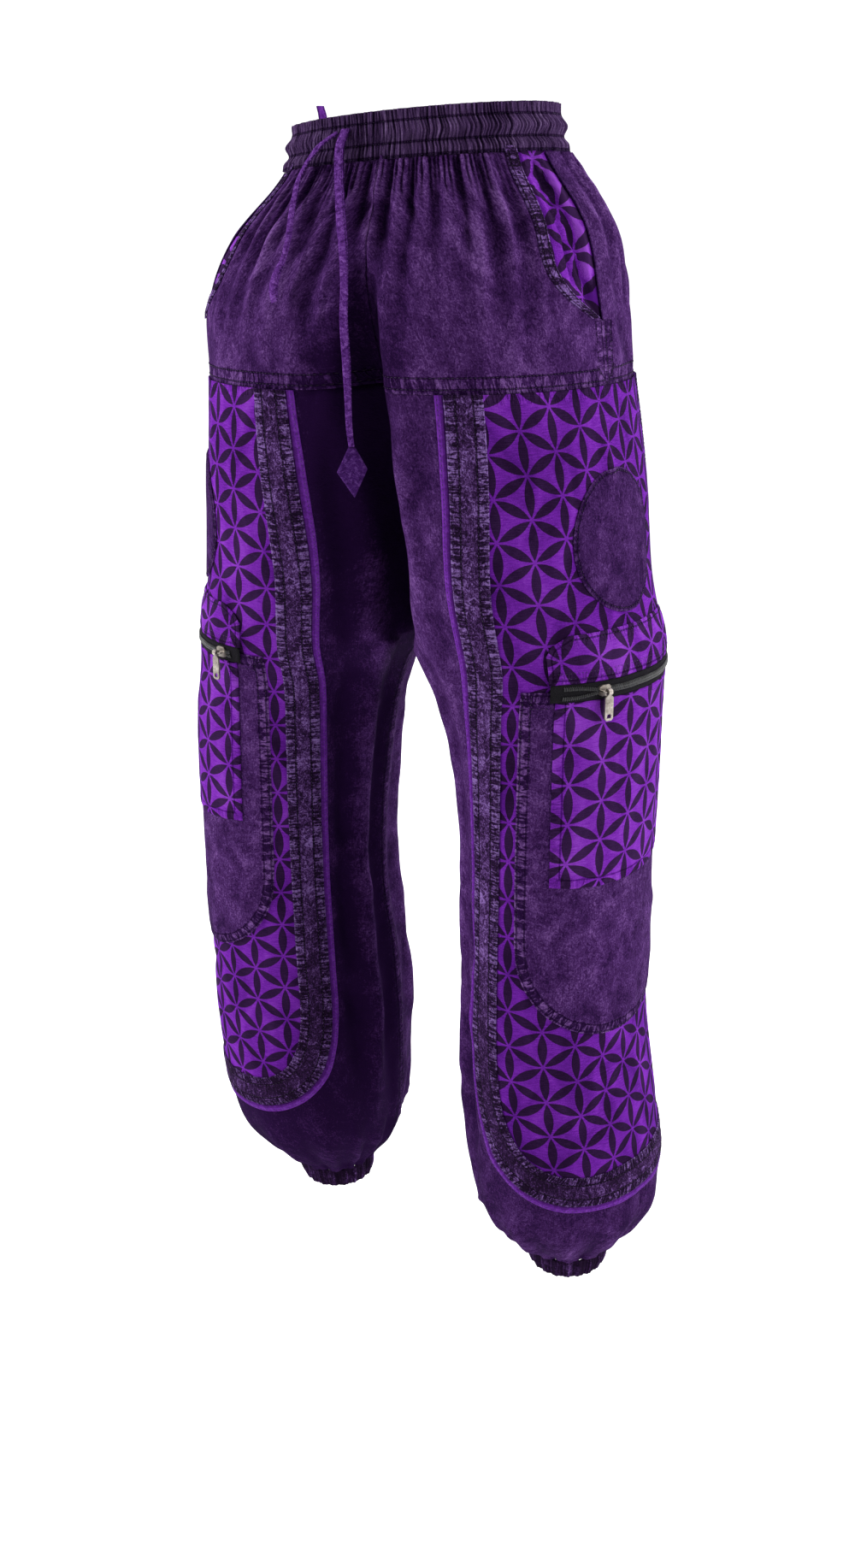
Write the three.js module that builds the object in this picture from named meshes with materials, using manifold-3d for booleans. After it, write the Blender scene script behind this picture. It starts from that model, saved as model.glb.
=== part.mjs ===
import * as THREE from 'three';
import { mergeVertices } from 'three/addons/utils/BufferGeometryUtils.js';
import Module from 'manifold-3d';

// Harem trousers, held at the waist. Millimetres, +Z up, the front faces -Y, +X is the wearer's left.
// The origin is the middle of the waist opening, level with the top of the waistband.

const CLOTH = 1.2;
const APPLIED = 1.0;
const LIFT = 0.4;
const SEAM = 0.3;

const WAISTBAND_WALL = 1.8;
const WAISTBAND_GATHERS = 50;
const WAIST_TILT = 0.075;
const TILT_ENDS_AT = 190;

const YOKE_TOP = -32.5;
const YOKE_FRONT_COLUMNS = 16;
const YOKE_BACK_COLUMNS = 22;

const CROTCH = -385;
const CUFF_TOP = -916;
const CUFF_BOTTOM = -935;
const CUFF_GATHERS = 20;
const CUFF_WALL = 1.6;

const TRIM_WIDTH = 6;
const BAND_WIDTH = 27;
const BIG_POCKET_HALF = 105;
const PRINT_POCKET_HALF = 80;
const ZIP_TOP = -391;
const ZIP_BOTTOM = -405;

// Each half of the trousers is a stack of rings. A ring is an ellipse: its height, how far its centre lies
// out from the middle plane, how far it steps back, its half width, its half depth, and how many degrees the
// side line lies in front of the outermost point. A ring that reaches the middle plane is open there.
const LEFT_RINGS = [
  { z: 0, out: 0, back: 0, wide: 98, deep: 80, turn: 22 },
  { z: -32, out: 0, back: 0, wide: 106, deep: 85, turn: 22 },
  { z: -80, out: 8, back: 0, wide: 132, deep: 112, turn: 21 },
  { z: -130, out: 20, back: 0, wide: 132, deep: 138, turn: 20 },
  { z: -190, out: 40, back: 0, wide: 118, deep: 150, turn: 18 },
  { z: -260, out: 64, back: -3, wide: 107, deep: 141, turn: 18 },
  { z: -330, out: 82, back: -7, wide: 98, deep: 126, turn: 18 },
  { z: -385, out: 97, back: -11, wide: 97, deep: 112, turn: 18 },
  { z: -420, out: 108, back: -14, wide: 86, deep: 103, turn: 18 },
  { z: -460, out: 115, back: -16, wide: 78, deep: 100, turn: 18 },
  { z: -540, out: 121, back: -20, wide: 71, deep: 101, turn: 18 },
  { z: -620, out: 124, back: -24, wide: 70, deep: 101, turn: 18 },
  { z: -700, out: 126, back: -25, wide: 72, deep: 101, turn: 18 },
  { z: -780, out: 133, back: -25, wide: 77, deep: 99, turn: 18 },
  { z: -855, out: 141, back: -25, wide: 76, deep: 92, turn: 18 },
  { z: -890, out: 142, back: -25, wide: 58, deep: 69, turn: 18 },
  { z: -912, out: 143, back: -25, wide: 38, deep: 41, turn: 18 },
  { z: -935, out: 143, back: -25, wide: 31, deep: 33, turn: 18 },
];
const RIGHT_RINGS = [
  { z: 0, out: 0, back: 0, wide: 103, deep: 80, turn: 22 },
  { z: -32, out: 0, back: 0, wide: 111, deep: 85, turn: 22 },
  { z: -80, out: 9, back: 0, wide: 146, deep: 112, turn: 24 },
  { z: -130, out: 24, back: 0, wide: 148, deep: 138, turn: 26 },
  { z: -190, out: 42, back: 0, wide: 124, deep: 150, turn: 30 },
  { z: -260, out: 64, back: 3, wide: 107, deep: 141, turn: 30 },
  { z: -330, out: 82, back: 7, wide: 97, deep: 126, turn: 30 },
  { z: -385, out: 97, back: 11, wide: 97, deep: 112, turn: 30 },
  { z: -420, out: 110, back: 14, wide: 87, deep: 103, turn: 30 },
  { z: -460, out: 119, back: 16, wide: 84, deep: 96, turn: 30 },
  { z: -540, out: 127, back: 20, wide: 80, deep: 93, turn: 30 },
  { z: -620, out: 129, back: 24, wide: 79, deep: 94, turn: 30 },
  { z: -700, out: 126, back: 25, wide: 86, deep: 90, turn: 30 },
  { z: -780, out: 122, back: 26, wide: 86, deep: 91, turn: 30 },
  { z: -855, out: 117, back: 27, wide: 77, deep: 88, turn: 30 },
  { z: -890, out: 110, back: 27, wide: 58, deep: 66, turn: 30 },
  { z: -912, out: 106, back: 27, wide: 38, deep: 41, turn: 30 },
  { z: -935, out: 103, back: 27, wide: 31, deep: 33, turn: 30 },
];

// The cloth falls into a groove between the thighs, in front and behind: depth, and half width.
const MIDDLE_GROOVES = [
  { z: -50, front: 0, behind: 0, half: 12 },
  { z: -100, front: 6, behind: 0, half: 13 },
  { z: -135, front: 18, behind: 3, half: 15 },
  { z: -185, front: 42, behind: 10, half: 19 },
  { z: -260, front: 58, behind: 24, half: 25 },
  { z: -330, front: 36, behind: 22, half: 25 },
  { z: -385, front: 0, behind: 0, half: 25 },
];

// Long folds of the leg between the side panel's edge (place 0) and the inner seam (place 1); depth at three
// heights, out is positive.
const FRONT_FOLDS = {
  left: [
    { place: 0.25, hip: -3, knee: -3, calf: -4 },
    { place: 0.5, hip: 3, knee: 4, calf: 4 },
    { place: 0.75, hip: -2, knee: -4, calf: -6 },
  ],
  right: [
    { place: 0.25, hip: -5, knee: -7, calf: -6 },
    { place: 0.5, hip: 4, knee: 6, calf: 5 },
    { place: 0.75, hip: -3, knee: -6, calf: -7 },
  ],
};
const BACK_FOLDS = [
  { place: 1 / 6, hip: -3, knee: -6, calf: -5 },
  { place: 2 / 6, hip: 3, knee: 5, calf: 6 },
  { place: 3 / 6, hip: -4, knee: -6, calf: -6 },
  { place: 4 / 6, hip: 4, knee: 4, calf: 5 },
  { place: 5 / 6, hip: -3, knee: -5, calf: -4 },
];
const FOLD_HEIGHTS = { top: -190, hip: -250, knee: -560, calf: -770, end: -850 };

// Half width of the side panel with its trim, measured round the leg from the side line.
const PANEL_HALF = [
  { z: -185, half: 139 },
  { z: -243, half: 145 },
  { z: -296, half: 149 },
  { z: -405, half: 151 },
  { z: -549, half: 151 },
  { z: -680, half: 154 },
  { z: -722, half: 155 },
  { z: -935, half: 155 },
];

const LEG_ROWS = [
  -185.3, -220, -256, -294, -334, -372, -405, -450, -500, -549, -595, -640,
  -680, -722, -742, -760, -785, -805, -822, -844, -868, -893, -916,
];
const YOKE_ROWS = [-32.5, -52, -78, -106, -126, -141, -185];

// Outlines of the applied pieces on the leg. Down to CORNER_TOP an outline keeps its inset from the panel's
// edge; below it, a table gives the half width at each height round the lower corners.
const CORNER_TOP = -722;
const TRIM_OUTER = {
  inset: 0,
  corner: [
    { z: -722, half: 155 },
    { z: -742, half: 154 },
    { z: -760, half: 150 },
    { z: -785, half: 140 },
    { z: -805, half: 118 },
    { z: -822, half: 87 },
    { z: -844, half: 42 },
    { z: -851, half: 27 },
  ],
};
const BAND_OUTER = {
  inset: 6,
  corner: [
    { z: -722, half: 149 },
    { z: -742, half: 148 },
    { z: -760, half: 144 },
    { z: -785, half: 132 },
    { z: -805, half: 108 },
    { z: -822, half: 75 },
    { z: -844, half: 27 },
  ],
};
const BAND_INNER = {
  inset: 33,
  corner: [
    { z: -722, half: 122 },
    { z: -742, half: 119 },
    { z: -760, half: 113 },
    { z: -785, half: 98 },
    { z: -805, half: 64 },
    { z: -818, half: 27 },
  ],
};
const PANEL_OUTLINE = {
  inset: 6,
  corner: [
    { z: -722, half: 149 },
    { z: -742, half: 146 },
    { z: -760, half: 138 },
    { z: -785, half: 116 },
    { z: -805, half: 86 },
    { z: -822, half: 48 },
  ],
};
const LEG_CUTOUT = {
  inset: 33,
  corner: [
    { z: -722, half: 122 },
    { z: -760, half: 122 },
  ],
};
const ROUND_PATCH = [
  { z: -243, half: 14 },
  { z: -262, half: 42 },
  { z: -294, half: 53 },
  { z: -326, half: 43 },
  { z: -346, half: 14 },
];
const FLAP = [
  { z: -356, half: 66 },
  { z: -368, half: 84 },
  { z: -391, half: 85 },
];
const ZIP_TAPE = [
  { z: -391.4, half: 84 },
  { z: -404.6, half: 84 },
];
const PRINT_POCKET = [
  { z: -405, half: 80 },
  { z: -549, half: 80 },
];
const BIG_POCKET = [
  { z: -397, half: 105 },
  { z: -405, half: 105 },
  { z: -595, half: 105 },
  { z: -640, half: 95 },
  { z: -662, half: 70 },
  { z: -680, half: 27 },
];

// The slanted hip pocket: the front edge of its opening and the back edge, from the side line.
const POCKET_OPENING = [
  { z: -32.5, front: 20, behind: -6 },
  { z: -52, front: 25, behind: -7 },
  { z: -78, front: 30, behind: -8 },
  { z: -106, front: 31, behind: -10 },
  { z: -126, front: 17, behind: -12 },
  { z: -141, front: -8, behind: -13 },
];
const YOKE_SIDE_SEAM = -13;
const WELT_WIDTH = 10;
const FACING_UNDERLAP = 10;
const FACING_DEPTH = 9;

// How far each slider stands in front of the side line, and its clearance over the zip.
const SLIDERS = {
  left: { place: 43, clear: 0.3 },
  right: { place: 66, clear: 1.0 },
};
const SLIDER_LENGTH = 10.5;
const SLIDER_HEIGHT = 8.5;
const SLIDER_THICK = 2.4;
const CROWN_SPAN = 8.4;
const CROWN_RISE = 5.4;
const CROWN_WIRE = 1.3;
const TAB_WIDTH = 7.5;
const TAB_LENGTH = 22;
const TAB_THICK = 1.4;
const TAB_EYE_OUTER = 2.5;
const TAB_EYE_INNER = 1.35;
const TAB_EYE_WIDTH = 3.6;

const PLAIN_COLOUR = 0x43275a;
const SHADE_COLOUR = 0x33204a;
const PRINT_COLOUR = 0x6a2a9c;
const TRIM_COLOUR = 0x7a35b5;
const TAPE_COLOUR = 0x17151b;
const STEEL_COLOUR = 0xb4b1a8;

const SIDES = [
  { name: 'left', sign: 1, rings: LEFT_RINGS },
  { name: 'right', sign: -1, rings: RIGHT_RINGS },
];

function clamp(value, low, high) {
  return Math.min(high, Math.max(low, value));
}

function ease(t) {
  const s = clamp(t, 0, 1);
  return s * s * (3 - 2 * s);
}

// Smooth value of one column of a table at a height; the rows run from the highest to the lowest.
function smooth(rows, z, column) {
  let k = 0;
  while (k < rows.length - 2 && z < rows[k + 1].z) k += 1;
  const span = rows[k + 1].z - rows[k].z;
  const t = clamp((z - rows[k].z) / span, 0, 1);
  const slope = (i) => {
    const above = rows[Math.max(i - 1, 0)];
    const below = rows[Math.min(i + 1, rows.length - 1)];
    return (below[column] - above[column]) / (below.z - above.z);
  };
  const mix = 3 * t ** 2 - 2 * t ** 3;
  const level = (1 - mix) * rows[k][column] + mix * rows[k + 1][column];
  const bend = (t ** 3 - 2 * t ** 2 + t) * slope(k) + (t ** 3 - t ** 2) * slope(k + 1);
  return level + bend * span;
}

// Straight-line value between two rows.
function linear(rows, z, column) {
  let k = 0;
  while (k < rows.length - 2 && z < rows[k + 1].z) k += 1;
  const t = clamp((z - rows[k].z) / (rows[k + 1].z - rows[k].z), 0, 1);
  return rows[k][column] + t * (rows[k + 1][column] - rows[k][column]);
}

// The smooth ring of one side at a height, with the cloth width measured from the side line.
const RING_STEPS = 180;
const rings = new Map();
function ringAt(side, z) {
  const key = `${side.name} ${z.toFixed(3)}`;
  if (rings.has(key)) return rings.get(key);
  const ring = {};
  for (const column of ['out', 'back', 'wide', 'deep', 'turn']) ring[column] = smooth(side.rings, z, column);
  const reach = (ring.out - SEAM / 2) / ring.wide;
  ring.open = z > CROTCH && reach < 1;
  const start = ring.open ? Math.acos(reach) : SEAM / 2 / ring.deep;
  ring.angles = [];
  ring.lengths = [];
  let length = 0;
  let last = null;
  for (let i = 0; i <= RING_STEPS; i += 1) {
    const angle = start + ((2 * Math.PI - 2 * start) * i) / RING_STEPS;
    const point = [ring.wide * Math.cos(angle), ring.deep * Math.sin(angle)];
    if (last) length += Math.hypot(point[0] - last[0], point[1] - last[1]);
    last = point;
    ring.angles.push(angle);
    ring.lengths.push(length);
  }
  const sideAngle = Math.PI - (ring.turn * Math.PI) / 180;
  const place = ((sideAngle - start) / (2 * Math.PI - 2 * start)) * RING_STEPS;
  const i = Math.floor(place);
  ring.side = ring.lengths[i] + (place - i) * (ring.lengths[i + 1] - ring.lengths[i]);
  ring.front = ring.side;
  ring.behind = length - ring.side;
  rings.set(key, ring);
  return ring;
}

function angleAt(ring, width) {
  const length = clamp(ring.side - width, 0, ring.lengths[RING_STEPS]);
  let low = 0;
  let high = RING_STEPS;
  while (high - low > 1) {
    const middle = (low + high) >> 1;
    if (ring.lengths[middle] > length) high = middle;
    else low = middle;
  }
  const t = (length - ring.lengths[low]) / (ring.lengths[high] - ring.lengths[low]);
  return ring.angles[low] + t * (ring.angles[high] - ring.angles[low]);
}

// A point of the cloth's outer face at a height and a width from the side line, pushed out by a fold depth.
function clothPoint(side, z, width, push) {
  const ring = ringAt(side, z);
  const angle = angleAt(ring, width);
  let x = ring.out - ring.wide * Math.cos(angle);
  let y = -ring.deep * Math.sin(angle);
  let outX = -Math.cos(angle) / ring.wide;
  let outY = -Math.sin(angle) / ring.deep;
  const size = Math.hypot(outX, outY);
  outX /= size;
  outY /= size;
  const nearMiddle = ring.open ? ease((x - SEAM / 2) / 24) : 1;
  const groove = Math.exp(-((x / smooth(MIDDLE_GROOVES, z, 'half')) ** 2));
  if (z > CROTCH && z < MIDDLE_GROOVES[0].z) {
    const depth = y < 0 ? smooth(MIDDLE_GROOVES, z, 'front') : -smooth(MIDDLE_GROOVES, z, 'behind');
    y += depth * groove * (ring.open ? 1 : 0);
  }
  x += outX * push * nearMiddle;
  y += outY * push;
  const step = ease((CROTCH - z) / 60);
  y += ring.back * (step + (1 - step) * ease(x / 50));
  const tilt = WAIST_TILT * clamp(1 + z / TILT_ENDS_AT, 0, 1);
  return new THREE.Vector3(side.sign * x, y, z + tilt * side.sign * x);
}

// Heights between the named fold heights get a depth between the named depths.
function foldDepth(fold, z) {
  const steps = [
    { z: FOLD_HEIGHTS.top, depth: 0 },
    { z: FOLD_HEIGHTS.hip, depth: fold.hip },
    { z: FOLD_HEIGHTS.knee, depth: fold.knee },
    { z: FOLD_HEIGHTS.calf, depth: fold.calf },
    { z: FOLD_HEIGHTS.end, depth: 0 },
  ];
  if (z > FOLD_HEIGHTS.top || z < FOLD_HEIGHTS.end) return 0;
  return linear(steps, z, 'depth');
}

function legPush(side, z, width, column) {
  const ring = ringAt(side, z);
  const panel = linear(PANEL_HALF, z, 'half');
  let push = 0;
  const front = width > panel;
  const folds = front ? FRONT_FOLDS[side.name] : BACK_FOLDS;
  const place = front ? (width - panel) / (ring.front - panel) : (-width - panel) / (ring.behind - panel);
  if (place > 0) {
    for (const fold of folds) {
      const reach = front ? 0.25 : 1 / 6;
      const near = clamp(Math.abs(place - fold.place) / reach, 0, 1);
      push += foldDepth(fold, z) * Math.cos((near * Math.PI) / 2) ** 2;
    }
  }
  const bunch = [
    { z: -815, depth: 0 },
    { z: -851, depth: 1.2 },
    { z: -875, depth: 3 },
    { z: -897, depth: 3.6 },
    { z: -916, depth: 2.2 },
  ];
  const uneven = 0.8 + 0.3 * Math.sin(2.3 * column);
  if (z < -815) push += linear(bunch, z, 'depth') * Math.cos(Math.PI * column) * uneven;
  return push;
}

// A lattice holds the outer face's points by row and column, with the way out of the cloth at each point.
function lattice(heights, widthsAt, pointAt, closed) {
  const rows = heights.map((z) => {
    const widths = widthsAt(z);
    return { z, widths, points: widths.map((width, column) => pointAt(z, width, column)) };
  });
  const last = rows[0].points.length - 1;
  for (const row of rows) row.out = row.points.map(() => new THREE.Vector3());
  const edge1 = new THREE.Vector3();
  const edge2 = new THREE.Vector3();
  const face = new THREE.Vector3();
  const add = (a, b, c) => {
    edge1.subVectors(rows[b[0]].points[b[1]], rows[a[0]].points[a[1]]);
    edge2.subVectors(rows[c[0]].points[c[1]], rows[a[0]].points[a[1]]);
    face.crossVectors(edge1, edge2);
    face.normalize();
    for (const corner of [a, b, c]) rows[corner[0]].out[corner[1]].add(face);
  };
  for (let j = 0; j + 1 < rows.length; j += 1) {
    for (let c = 0; c < last; c += 1) {
      add([j, c], [j + 1, c], [j, c + 1]);
      add([j, c + 1], [j + 1, c], [j + 1, c + 1]);
    }
  }
  const sign = closed.sign;
  rows.forEach((row, j) => {
    if (closed.joined(row.z)) {
      const both = row.out[0].clone().add(row.out[last]);
      row.out[0].copy(both);
      row.out[last].copy(both);
    }
    row.out.forEach((out, c) => {
      out.multiplyScalar(sign);
      if (closed.flat(j, rows.length)) out.z = 0;
      out.normalize();
      if (!closed.joined(row.z) && (c === 0 || c === last)) {
        const y = out.y || 1;
        out.set(0, Math.sign(y) * Math.min(2, 1 / Math.max(0.2, Math.abs(y))), 0);
      }
    });
  });
  return rows;
}

function rowPlace(rows, z) {
  let j = 0;
  while (j < rows.length - 2 && z <= rows[j + 1].z) j += 1;
  const t = clamp((z - rows[j].z) / (rows[j + 1].z - rows[j].z), 0, 1);
  return t > 0.999 ? j + 1 : t < 0.001 ? j : j + t;
}

function columnPlace(rows, place, width) {
  const j = Math.min(Math.floor(place), rows.length - 2);
  const t = place - j;
  const count = rows[0].widths.length;
  const at = (c) => rows[j].widths[c] * (1 - t) + rows[j + 1].widths[c] * t;
  let c = 0;
  while (c < count - 2 && width < at(c + 1)) c += 1;
  const span = at(c + 1) - at(c);
  const column = c + clamp((width - at(c)) / span, 0, 1);
  return Math.abs(column - Math.round(column)) < 0.004 ? Math.round(column) : column;
}

function latticePoint(rows, place, column, height) {
  const j = Math.min(Math.floor(place), rows.length - 2);
  const t = place - j;
  const c = Math.min(Math.floor(column), rows[0].widths.length - 2);
  const s = column - c;
  const point = new THREE.Vector3();
  const corners = [
    [j, c, (1 - t) * (1 - s)],
    [j, c + 1, (1 - t) * s],
    [j + 1, c, t * (1 - s)],
    [j + 1, c + 1, t * s],
  ];
  for (const [row, col, weight] of corners) {
    point.addScaledVector(rows[row].points[col], weight);
    point.addScaledVector(rows[row].out[col], weight * height);
  }
  return point;
}

// The cells of a piece: between one height and the next, the stretches of cloth that the piece covers.
// Each cell is triangulated with the lattice's own columns, so a piece lies parallel to the one under it.
function clothPatch(rows, heights, stretchesAt, around = 0) {
  const places = heights.map((z) => rowPlace(rows, z));
  const ends = heights.map(() => new Set());
  const cells = [];
  for (let k = 0; k + 1 < heights.length; k += 1) {
    for (const stretch of stretchesAt(heights[k], heights[k + 1], k)) {
      const upper = stretch.upper.map((width) => columnPlace(rows, places[k], width));
      const lower = stretch.lower.map((width) => columnPlace(rows, places[k + 1], width));
      upper.forEach((column) => ends[k].add(column));
      lower.forEach((column) => ends[k + 1].add(column));
      cells.push({ k, upper, lower });
    }
  }
  const run = (k, [from, to]) => {
    const columns = new Set([from, to]);
    for (let c = Math.ceil(from); c <= to; c += 1) columns.add(c);
    for (const column of ends[k]) if (column > from && column < to) columns.add(column);
    return [...columns].sort((a, b) => a - b);
  };
  const points = [];
  const index = new Map();
  const vertex = (k, column) => {
    const key = `${k} ${(around && column === around ? 0 : column).toFixed(5)}`;
    if (!index.has(key)) {
      index.set(key, points.length);
      points.push({ place: places[k], column, z: heights[k] });
    }
    return index.get(key);
  };
  const triangles = [];
  for (const cell of cells) {
    const upper = run(cell.k, cell.upper);
    const lower = run(cell.k + 1, cell.lower);
    let u = 0;
    let l = 0;
    while (u < upper.length - 1 || l < lower.length - 1) {
      const goUp = l === lower.length - 1 || (u < upper.length - 1 && upper[u + 1] <= lower[l + 1]);
      const a = vertex(cell.k, upper[u]);
      const b = vertex(cell.k + 1, lower[l]);
      if (goUp) {
        u += 1;
        const c = vertex(cell.k, upper[u]);
        if (a !== c) triangles.push([a, b, c]);
      } else {
        l += 1;
        const c = vertex(cell.k + 1, lower[l]);
        if (b !== c) triangles.push([a, b, c]);
      }
    }
  }
  return { points, triangles };
}

// A wall from an inner to an outer height above the lattice, closed along every free edge.
function clothWall(rows, patch, inner, outer, sign) {
  const positions = [];
  const inside = typeof inner === 'function' ? inner : () => inner;
  const outside = typeof outer === 'function' ? outer : () => outer;
  for (const point of patch.points) {
    const width = widthAt(rows, point);
    const p = latticePoint(rows, point.place, point.column, outside(point.z, width));
    positions.push(p.x, p.y, p.z);
  }
  const count = patch.points.length;
  for (const point of patch.points) {
    const width = widthAt(rows, point);
    const p = latticePoint(rows, point.place, point.column, inside(point.z, width));
    positions.push(p.x, p.y, p.z);
  }
  const faces = [];
  const edges = new Map();
  for (const [a, b, c] of patch.triangles) {
    faces.push([a, b, c], [a + count, c + count, b + count]);
    for (const [p, q] of [[a, b], [b, c], [c, a]]) {
      if (edges.has(`${q} ${p}`)) edges.delete(`${q} ${p}`);
      else edges.set(`${p} ${q}`, [p, q]);
    }
  }
  for (const [p, q] of edges.values()) faces.push([p, q + count, q], [p, p + count, q + count]);
  return meshFrom(positions, faces, sign);
}

function widthAt(rows, point) {
  const j = Math.min(Math.floor(point.place), rows.length - 2);
  const t = point.place - j;
  const c = Math.min(Math.floor(point.column), rows[0].widths.length - 2);
  const s = point.column - c;
  const upper = rows[j].widths[c] * (1 - s) + rows[j].widths[c + 1] * s;
  const lower = rows[j + 1].widths[c] * (1 - s) + rows[j + 1].widths[c + 1] * s;
  return upper * (1 - t) + lower * t;
}

function meshFrom(positions, faces, sign) {
  const geometry = new THREE.BufferGeometry();
  geometry.setAttribute('position', new THREE.Float32BufferAttribute(positions, 3));
  geometry.setIndex((sign > 0 ? faces : faces.map(([a, b, c]) => [a, c, b])).flat());
  return geometry;
}

// An outline is a table, or an inset from the panel's edge with a table for the lower corners.
function tableOf(outline) {
  return outline.corner ? outline.corner : outline;
}

function halfAt(outline, z) {
  if (outline.corner && z > CORNER_TOP - 0.01) return linear(PANEL_HALF, z, 'half') - outline.inset;
  return linear(tableOf(outline), z, 'half');
}

// Heights at which an edge of a piece crosses a column of the lattice.
function crossings(widthsAt, edgeAt, heights) {
  const found = [];
  for (let i = 0; i + 1 < heights.length; i += 1) {
    const [upper, lower] = [heights[i], heights[i + 1]];
    const slant = edgeAt(lower) - edgeAt(upper);
    if (Math.abs(slant) < 4) continue;
    const above = widthsAt(upper);
    const below = widthsAt(lower);
    above.forEach((width, c) => {
      const t = (width - edgeAt(upper)) / (slant - (below[c] - width));
      if (t > 0.06 && t < 0.94) found.push(upper + t * (lower - upper));
    });
  }
  return found;
}

// Heights at which a piece bends: its outlines' own rows, the lattice rows between them, and the heights at
// which a slanting edge crosses a column, so that no edge of the piece spans a bend of the cloth below.
function heightsOf(rows, outlines) {
  const tops = outlines.map((outline) => (outline.corner ? rows[0].z : outline[0].z));
  const bottoms = outlines.map((outline) => tableOf(outline)[tableOf(outline).length - 1].z);
  const top = Math.max(...tops);
  const bottom = Math.min(...bottoms);
  const heights = rows.map((row) => row.z).filter((z) => z <= top && z >= bottom);
  const keep = (z) => {
    if (!heights.some((height) => Math.abs(height - z) < 1.2)) heights.push(z);
  };
  for (const outline of outlines) for (const { z } of tableOf(outline)) keep(z);
  const own = [...heights].sort((a, b) => b - a);
  const columns = (z) => legWidths(SIDES[0], z);
  for (const outline of outlines) {
    const end = tableOf(outline)[tableOf(outline).length - 1].z;
    for (const z of crossings(columns, (height) => halfAt(outline, height), own)) {
      if (z < tops[0] && z > end) keep(z);
    }
  }
  return heights.sort((a, b) => b - a);
}

// A piece that is symmetrical about the side line, with or without a cutout that starts at the same height.
function sidePatch(rows, outer, inner, gap = 0) {
  const heights = heightsOf(rows, inner ? [outer, inner] : [outer]);
  const end = inner ? tableOf(inner)[tableOf(inner).length - 1].z : Infinity;
  const last = inner ? heights.findIndex((z) => z < end + 0.6) : -1;
  if (gap) heights.splice(last + 1, 0, end - gap);
  const cut = last + (gap ? 1 : 0);
  return clothPatch(rows, heights, (upper, lower, k) => {
    const a = halfAt(outer, upper);
    const b = halfAt(outer, lower);
    if (!inner || k >= cut) return [{ upper: [a, -a], lower: [b, -b] }];
    const c = halfAt(inner, upper) + gap;
    const d = halfAt(inner, lower) + gap;
    return [
      { upper: [a, c], lower: [b, d] },
      { upper: [-c, -a], lower: [-d, -b] },
    ];
  });
}

const material = (colour, roughness = 0.9, metalness = 0) =>
  new THREE.MeshStandardMaterial({ color: colour, roughness, metalness, side: THREE.DoubleSide });

const trousers = new THREE.Group();
trousers.name = 'harem_trousers';

function add(name, geometry, colour, roughness, metalness) {
  geometry.computeVertexNormals();
  const mesh = new THREE.Mesh(geometry, material(colour, roughness, metalness));
  mesh.name = name;
  trousers.add(mesh);
  return mesh;
}

// Columns of the leg: from the inner or middle edge in front, by the panel's edges, to the edge behind.
function legWidths(side, z) {
  const ring = ringAt(side, z);
  const low = ringAt(side, -851);
  const shrink = z < -851 ? (ring.front + ring.behind) / (low.front + low.behind) : 1;
  const panel = linear(PANEL_HALF, z, 'half') * shrink;
  const band = panel - TRIM_WIDTH * shrink;
  const print = band - BAND_WIDTH * shrink;
  const widths = [];
  for (let i = 0; i < 4; i += 1) widths.push(ring.front + ((panel - ring.front) * i) / 4);
  widths.push(panel, band, print, BIG_POCKET_HALF * shrink, PRINT_POCKET_HALF * shrink);
  for (const part of [53, 27, 0, -27, -53]) widths.push(part * shrink);
  widths.push(-PRINT_POCKET_HALF * shrink, -BIG_POCKET_HALF * shrink, -print, -band, -panel);
  for (let i = 1; i <= 6; i += 1) widths.push(-panel + ((panel - ring.behind) * i) / 6);
  return widths;
}

// Columns of the yoke: evenly from the middle in front to the side line, and on to the middle behind.
function yokeWidths(side, z) {
  const ring = ringAt(side, z);
  const widths = [];
  for (let i = 0; i < YOKE_FRONT_COLUMNS; i += 1) widths.push(ring.front * (1 - i / YOKE_FRONT_COLUMNS));
  for (let i = 0; i <= YOKE_BACK_COLUMNS; i += 1) widths.push((-ring.behind * i) / YOKE_BACK_COLUMNS);
  return widths;
}

const YOKE_GATHERS = [
  { z: -32.5, depth: 2.2 },
  { z: -52, depth: 3.4 },
  { z: -78, depth: 3.0 },
  { z: -106, depth: 1.8 },
  { z: -141, depth: 0.9 },
  { z: -185, depth: 0 },
];

function yokePush(z, width, column) {
  const calm = 0.15 + 0.85 * ease((Math.abs(width - 8) - 22) / 26);
  const uneven = 0.8 + 0.35 * Math.sin(1.7 * column + 0.6) * Math.cos(0.9 * column);
  return linear(YOKE_GATHERS, z, 'depth') * Math.cos(Math.PI * column) * uneven * calm;
}

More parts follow.
